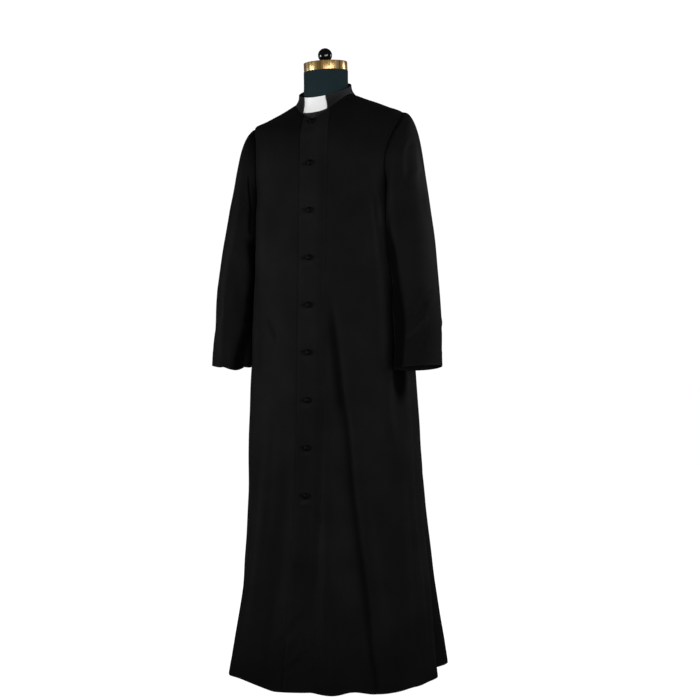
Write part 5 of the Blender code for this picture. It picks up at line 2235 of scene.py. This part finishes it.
@dataclass
class Buttons:
    """Cloth-covered domed buttons and their worked buttonholes down the band."""

    body: Body
    relief: Relief
    hole_length: float = 0.0185
    hole_width: float = 0.0026
    hole_thread: float = 0.00062
    hole_across: float = -0.0055
    hole_sunk: float = 0.0008
    hole_squash: tuple[float, float] = (0.62, 0.7)
    button_sunk: float = 0.0002
    tucks: int = 12
    tuck_depth: float = 0.00048
    tuck_from: float = 0.75

    def heights(self) -> list[float]:
        """Heights of the buttons' middles at the centre front."""
        second = BUTTON_TOP - BUTTON_FIRST_GAP
        return [BUTTON_TOP, *(second - n * BUTTON_PITCH for n in range(BUTTON_COUNT - 1))]

    def side_heights(self) -> list[float]:
        """Side heights of the sections that the buttons lie on."""
        return [self.body.section_through(height) for height in self.heights()]

    def model_button(self) -> bpy.types.Object:
        """One button at the origin, its dome towards +Z.

        Returns:
            The button.
        """
        Modeller.clear_selection()
        bpy.ops.mesh.primitive_uv_sphere_add(segments=36, ring_count=20, radius=BUTTON_RADIUS)
        button = Modeller.named("button_master")
        Modeller.cut_below(-BUTTON_CUT)
        bpy.ops.transform.translate(value=(0.0, 0.0, BUTTON_CUT))
        bpy.ops.transform.resize(value=(1.0, 1.0, BUTTON_DOME / (BUTTON_RADIUS + BUTTON_CUT)))
        bpy.ops.object.mode_set(mode="OBJECT")
        self.tuck(button)
        Modeller.smooth(button, 60)
        return button

    def tuck(self, button: bpy.types.Object) -> None:
        """Draws the cover into small tucks round the button's rim.

        Args:
            button: the button at the origin.
        """
        for vertex in button.data.vertices:
            spread = math.hypot(vertex.co.x, vertex.co.y) / BUTTON_RADIUS
            turn = math.atan2(vertex.co.y, vertex.co.x)
            depth = self.tuck_depth * max(0.0, spread - self.tuck_from)
            tucked = depth * math.sin(turn * self.tucks)
            vertex.co.xy *= 1 + tucked / BUTTON_RADIUS

    def model_hole(self) -> bpy.types.Object:
        """One worked buttonhole at the origin, lying along X and facing +Z.

        Returns:
            The buttonhole.
        """
        Modeller.clear_selection()
        sizes = {"major_radius": self.hole_width, "minor_radius": self.hole_thread}
        bpy.ops.mesh.primitive_torus_add(major_segments=48, minor_segments=8, **sizes)
        hole = Modeller.named("buttonhole_master")
        Modeller.edit_all()
        stretch = self.hole_length / (2 * self.hole_width)
        bpy.ops.transform.resize(value=(stretch, *self.hole_squash))
        bpy.ops.object.mode_set(mode="OBJECT")
        for number, vertex in enumerate(hole.data.vertices):
            vertex.co.z += 0.00009 * math.sin(number * 2.4)
        Modeller.smooth(hole, 80)
        return hole

    def placing(self, side_height: float, across: float, out: float) -> Matrix:
        """Where a piece sits on the band, its +Z outwards and its +Y up.

        Args:
            side_height: side height of the section it sits on.
            across: distance from the centre front.
            out: distance from the body's surface.

        Returns:
            The placing.
        """
        angle = float(self.body.angle_at(across, np.array(side_height)))
        facing = Vector(self.body.normals(angle, side_height))
        relief = float(self.relief.heights(np.array(across), np.array(side_height)))
        place = Vector(self.body.points(angle, side_height)) + facing * (out + relief)
        wide = Vector((0.0, 0.0, 1.0)).cross(facing).normalized()
        turn = Matrix((wide, facing.cross(wide), facing)).transposed().to_4x4()
        return Matrix.Translation(place) @ turn

    def build(self) -> None:
        """All the buttons and buttonholes in the places of the buttons' solids."""
        button, hole = self.model_button(), self.model_hole()
        for number, side_height in enumerate(self.side_heights(), 1):
            piece = Modeller.copy(button, f"button_{number}_covered")
            spin = Matrix.Rotation(0.7 * number, 4, "Z")
            seat = self.placing(side_height, 0.0, BAND_OUT - self.button_sunk)
            Modeller.settle(piece, seat @ spin)
            dress(piece, Finish.BUTTON)
            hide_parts(f"button_{number}")
            worked = Modeller.copy(hole, f"buttonhole_{number}")
            tilt = Matrix.Rotation(0.03 * math.sin(1.9 * number), 4, "Z")
            seat = self.placing(side_height, self.hole_across, BAND_OUT - self.hole_sunk)
            Modeller.settle(worked, seat @ tilt)
            dress(worked, Finish.THREAD)
            report(piece)
            report(worked)
        for master in (button, hole):
            bpy.data.objects.remove(master)


@dataclass
class DressForm:
    """The limbless form: jersey body and neck, gold cap, black knob, pole and base.

    The cap's top steps down inside its rim and rises to a flat dome, on which the knob sits.
    """

    body: Body
    columns: int = 168
    cap_rim: float = 0.0035
    cap_sunk: float = 0.0004
    cap_dome_inset: float = 0.0300
    cap_dome: float = 0.0019
    knob_foot: float = 0.0042
    knob_foot_share: float = 0.82
    knob_rise: float = 0.93

    def rings(self) -> Array:
        """Points of the form's rings from the hips to the top of the neck.

        Returns:
            The points, a row for each ring.
        """
        clear = Curves(FORM_LEVELS)
        angles = np.arange(self.columns) * 360.0 / self.columns
        heights = (np.linspace(FORM_BOTTOM, 1.37, 84), np.linspace(1.376, NECK_HEIGHT, 30))
        heights = np.concatenate(heights)[:, None]
        grid = self.body.cloth(angles, heights, -clear.read("clear", heights))
        grid[0, :, 2] = FORM_BOTTOM
        neck = []
        for swell, height, degrees in NECK_LEVELS:
            radius, tilt = NECK_RADIUS + swell, math.radians(degrees)
            neck.append(tilted_ring((0.0, NECK_AXIS_Y, height), radius, radius, tilt, angles))
        return np.concatenate((grid, np.stack(neck)))

    def build_body(self) -> bpy.types.Object:
        """The jersey-covered body as one closed skin, filled and tight.

        Returns:
            The object.
        """
        grid = self.rings()
        rows, columns = grid.shape[:2]
        index = np.arange(rows * columns).reshape(rows, columns)
        after = np.roll(index, -1, axis=1)
        quads = np.stack((index[:-1], after[:-1], after[1:], index[1:]), axis=-1).reshape(-1, 4)
        faces = [*quads.tolist(), index[0][::-1].tolist(), index[-1].tolist()]
        around = np.linalg.norm(np.roll(grid, -1, axis=1) - grid, axis=-1).cumsum(axis=1)
        chart = np.stack((around, grid[..., 2]), axis=-1).reshape(-1, 2)
        thing = charted("form_torso_jersey", grid.reshape(-1, 3), faces, chart)
        Modeller.smooth(thing, 50)
        dress(thing, Finish.JERSEY)
        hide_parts("form_torso")
        return report(thing)

    def build_cap(self, placing: Matrix) -> None:
        """The gold band with its hollowed top.

        Args:
            placing: moves the cap from the origin to its place.
        """
        Modeller.clear_selection()
        bpy.ops.mesh.primitive_cylinder_add(
            vertices=128, radius=CAP_RADIUS, depth=CAP_HEIGHT, location=(0.0, 0.0, CAP_HEIGHT / 2)
        )
        cap = Modeller.named("neck_cap_gold")
        Modeller.settle(cap, Matrix.Identity(4))
        Modeller.select_faces(cap, lambda face: face.normal.z > 0.9)
        for inset, rise in ((self.cap_rim, -self.cap_sunk), (self.cap_dome_inset, self.cap_dome)):
            bpy.ops.mesh.inset(thickness=inset)
            bpy.ops.transform.translate(value=(0.0, 0.0, rise))
        bpy.ops.object.mode_set(mode="OBJECT")
        Modeller.bevel(cap, 0.0011, 4, 50)
        Modeller.smooth(cap, 35)
        Modeller.settle(cap, placing)
        dress(cap, Finish.GOLD)
        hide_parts("neck_cap")
        report(cap)

    def build_knob(self, placing: Matrix) -> None:
        """The turned knob on a short foot, on the cap.

        Args:
            placing: moves the cap from the origin to its place.
        """
        seat = CAP_HEIGHT + self.cap_dome - self.cap_sunk + SEAM_GAP
        ball = seat + KNOB_RADIUS * self.knob_rise
        Modeller.clear_selection()
        bpy.ops.mesh.primitive_uv_sphere_add(
            segments=64, ring_count=40, radius=KNOB_RADIUS, location=(0.0, 0.0, ball)
        )
        knob = Modeller.named("cap_knob_gloss")
        Modeller.settle(knob, Matrix.Identity(4))
        Modeller.cut_below(seat + self.knob_foot)
        bpy.ops.object.mode_set(mode="OBJECT")
        Modeller.select_faces(knob, lambda face: face.normal.z < -0.95 and face.area > 0.0001)
        bpy.ops.transform.resize(value=(self.knob_foot_share, self.knob_foot_share, 1.0))
        down = {"value": (0.0, 0.0, -self.knob_foot)}
        bpy.ops.mesh.extrude_region_move(TRANSFORM_OT_translate=down)
        bpy.ops.object.mode_set(mode="OBJECT")
        Modeller.bevel(knob, 0.0006, 3, 40)
        Modeller.smooth(knob, 40)
        Modeller.settle(knob, placing)
        dress(knob, Finish.GLOSS)
        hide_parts("cap_knob")
        report(knob)

    def dress_stand(self, nodes: dict[str, bpy.types.Object]) -> None:
        """Powder coat on the pole's and base's own solids.

        Args:
            nodes: the frame's nodes by name.
        """
        for name in ("stand_pole", "stand_base"):
            nodes[name].data.materials.clear()
            nodes[name].data.materials.append(Finish.STEEL.material())
            Finish.STEEL.slot
            report(nodes[name])

    def build(self, nodes: dict[str, bpy.types.Object]) -> None:
        """The whole form and its stand.

        Args:
            nodes: the frame's nodes by name.
        """
        self.build_body()
        foot = Vector((0.0, NECK_AXIS_Y, NECK_TOP + SEAM_GAP))
        placing = Matrix.Translation(foot) @ Matrix.Rotation(CAP_TILT, 4, "X")
        self.build_cap(placing)
        self.build_knob(placing)
        self.dress_stand(nodes)


@dataclass
class Cassock:
    """The garment: three panels, two sleeves, front band, buttons, collar and tab."""

    body: Body = field(default_factory=Body)
    back_step: float = 0.0056

    def build(self) -> None:
        """Builds every piece of the garment."""
        left = PanelCut(Panel.LEFT, self.body, Relief(LEFT_FRONT_CREASES, seed=11))
        left.build()
        right = Relief(RIGHT_FRONT_CREASES, seed=23)
        PanelCut(Panel.RIGHT, self.body, right, area=0.43).build()
        back = Relief(BACK_CREASES, seed=37)
        step = self.back_step
        PanelCut(Panel.BACK, self.body, back, step, step, flat=(0.90, 1.48), area=0.905).build()
        buttons = Buttons(self.body, left.relief)
        FrontBand(left).build(buttons.side_heights())
        buttons.build()
        left_sleeve = Relief(LEFT_SLEEVE_CREASES, seed=41)
        Sleeve(self.body, 1, left_sleeve, LEFT_CUFF, dull=0.30).build()
        right_sleeve = Relief(RIGHT_SLEEVE_CREASES, seed=53)
        Sleeve(self.body, -1, right_sleeve, RIGHT_CUFF).build()
        Collar(self.body).build()


# ------------------------------------------------------------------ studio
@dataclass(frozen=True)
class Softbox:
    """A large soft area light aimed at a point."""

    name: str
    place: tuple[float, float, float]
    target: tuple[float, float, float]
    size: tuple[float, float]
    power: float
    fan: float

    def hang(self) -> None:
        """Adds the light to the scene."""
        light = bpy.data.lights.new(self.name, "AREA")
        light.shape = "RECTANGLE"
        light.size, light.size_y = self.size
        light.energy = self.power
        light.spread = math.radians(self.fan)
        lamp = bpy.data.objects.new(self.name, light)
        lamp.location = self.place
        aim = Vector(self.target) - Vector(self.place)
        lamp.rotation_mode = "QUATERNION"
        lamp.rotation_quaternion = aim.to_track_quat("-Z", "Y")
        bpy.context.scene.collection.objects.link(lamp)


SOFTBOXES = (
    Softbox("camera_soft", (1.40, -2.60, 0.85), (0.05, 0.0, 0.80), (0.9, 1.2), 5.8, 100.0),
    Softbox("camera_side_soft", (2.05, -2.05, 0.85), (0.08, 0.0, 0.80), (0.8, 1.2), 8.5, 100.0),
    Softbox("side_soft", (2.55, -1.35, 1.35), (0.12, 0.0, 1.25), (0.8, 1.0), 7.6, 100.0),
    Softbox("far_front_soft", (-2.1, -1.75, 1.15), (0.0, 0.0, 1.14), (0.8, 1.0), 13.0, 100.0),
    Softbox("far_side_soft", (-2.6, -0.45, 1.05), (-0.15, 0.0, 1.02), (0.8, 1.2), 1.5, 100.0),
    Softbox("back_left_soft", (1.9, 2.2, 1.75), (0.2, 0.0, 1.35), (0.8, 0.9), 4.0, 90.0),
    Softbox("back_right_soft", (-1.9, 2.2, 1.10), (-0.1, 0.0, 1.0), (0.9, 1.3), 4.0, 120.0),
    Softbox("back_soft", (-1.40, 2.65, 0.95), (0.0, 0.0, 0.90), (1.0, 1.2), 10.0, 100.0),
)


@dataclass(frozen=True)
class Studio:
    """White room: a wide pale floor, an even white surround and the softboxes."""

    floor_size: float = 60.0
    surround: float = 0.04
    backdrop: float = 1.02

    def build(self) -> None:
        """Adds floor, surround and lights."""
        Modeller.clear_selection()
        bpy.ops.mesh.primitive_plane_add(size=self.floor_size)
        floor = Modeller.named("studio_floor")
        floor.data.materials.append(PaleFloor().material())
        floor.visible_diffuse = floor.visible_glossy = False
        self.paint_surround()
        for softbox in SOFTBOXES:
            softbox.hang()

    def paint_surround(self) -> None:
        """An even white surround, brighter where it is seen directly than where it lights."""
        world = bpy.data.worlds.new("white_room")
        bpy.context.scene.world = world
        world.use_nodes = True
        tree = world.node_tree
        shade = tree.nodes["Background"]
        path = tree.nodes.new("ShaderNodeLightPath")
        level = tree.nodes.new("ShaderNodeMapRange")
        level.inputs["To Min"].default_value = self.surround
        level.inputs["To Max"].default_value = self.backdrop
        tree.links.new(path.outputs["Is Camera Ray"], level.inputs["Value"])
        tree.links.new(level.outputs["Result"], shade.inputs["Strength"])
        shade.inputs["Color"].default_value = (1.0, 1.0, 1.0, 1.0)


@dataclass(frozen=True)
class Viewpoint:
    """The camera: level, a little under the garment's middle, turned to its left front."""

    distance: float = 3.4
    azimuth: float = math.radians(28.0)
    height: float = 0.8212
    focal_pixels: float = 1348.32
    roll: float = 0.0103
    centre: tuple[float, float] = (331.24, 353.0)
    frame: float = 700.0
    sensor: float = 36.0

    def build(self) -> None:
        """Adds the camera and makes it the scene's."""
        data = bpy.data.cameras.new("viewpoint")
        data.sensor_width = self.sensor
        data.lens = self.focal_pixels / self.frame * self.sensor
        data.shift_x = (self.frame / 2 - self.centre[0]) / self.frame
        data.shift_y = -(self.frame / 2 - self.centre[1]) / self.frame
        data.clip_start, data.clip_end = 0.1, 200.0
        camera = bpy.data.objects.new("viewpoint", data)
        right = Vector((math.cos(self.azimuth), math.sin(self.azimuth), 0.0))
        ahead = Vector((-math.sin(self.azimuth), math.cos(self.azimuth), 0.0))
        up = Vector((0.0, 0.0, 1.0))
        cos, sin = math.cos(self.roll), math.sin(self.roll)
        turn = Matrix((right * cos - up * sin, up * cos + right * sin, -ahead)).transposed()
        camera.matrix_world = Matrix.Translation(-ahead * self.distance + up * self.height) @ turn.to_4x4()
        bpy.context.scene.collection.objects.link(camera)
        bpy.context.scene.camera = camera


def main() -> None:
    """Builds the studio, the garment and the form."""
    logging.basicConfig(level=logging.INFO, format="%(name)s: %(message)s")
    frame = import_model()
    bpy.context.scene.view_settings.view_transform = "Standard"
    Viewpoint().build()
    Studio().build()
    garment = Cassock()
    garment.build()
    DressForm(garment.body).build(frame["nodes"])


if __name__ == "__main__":
    main()
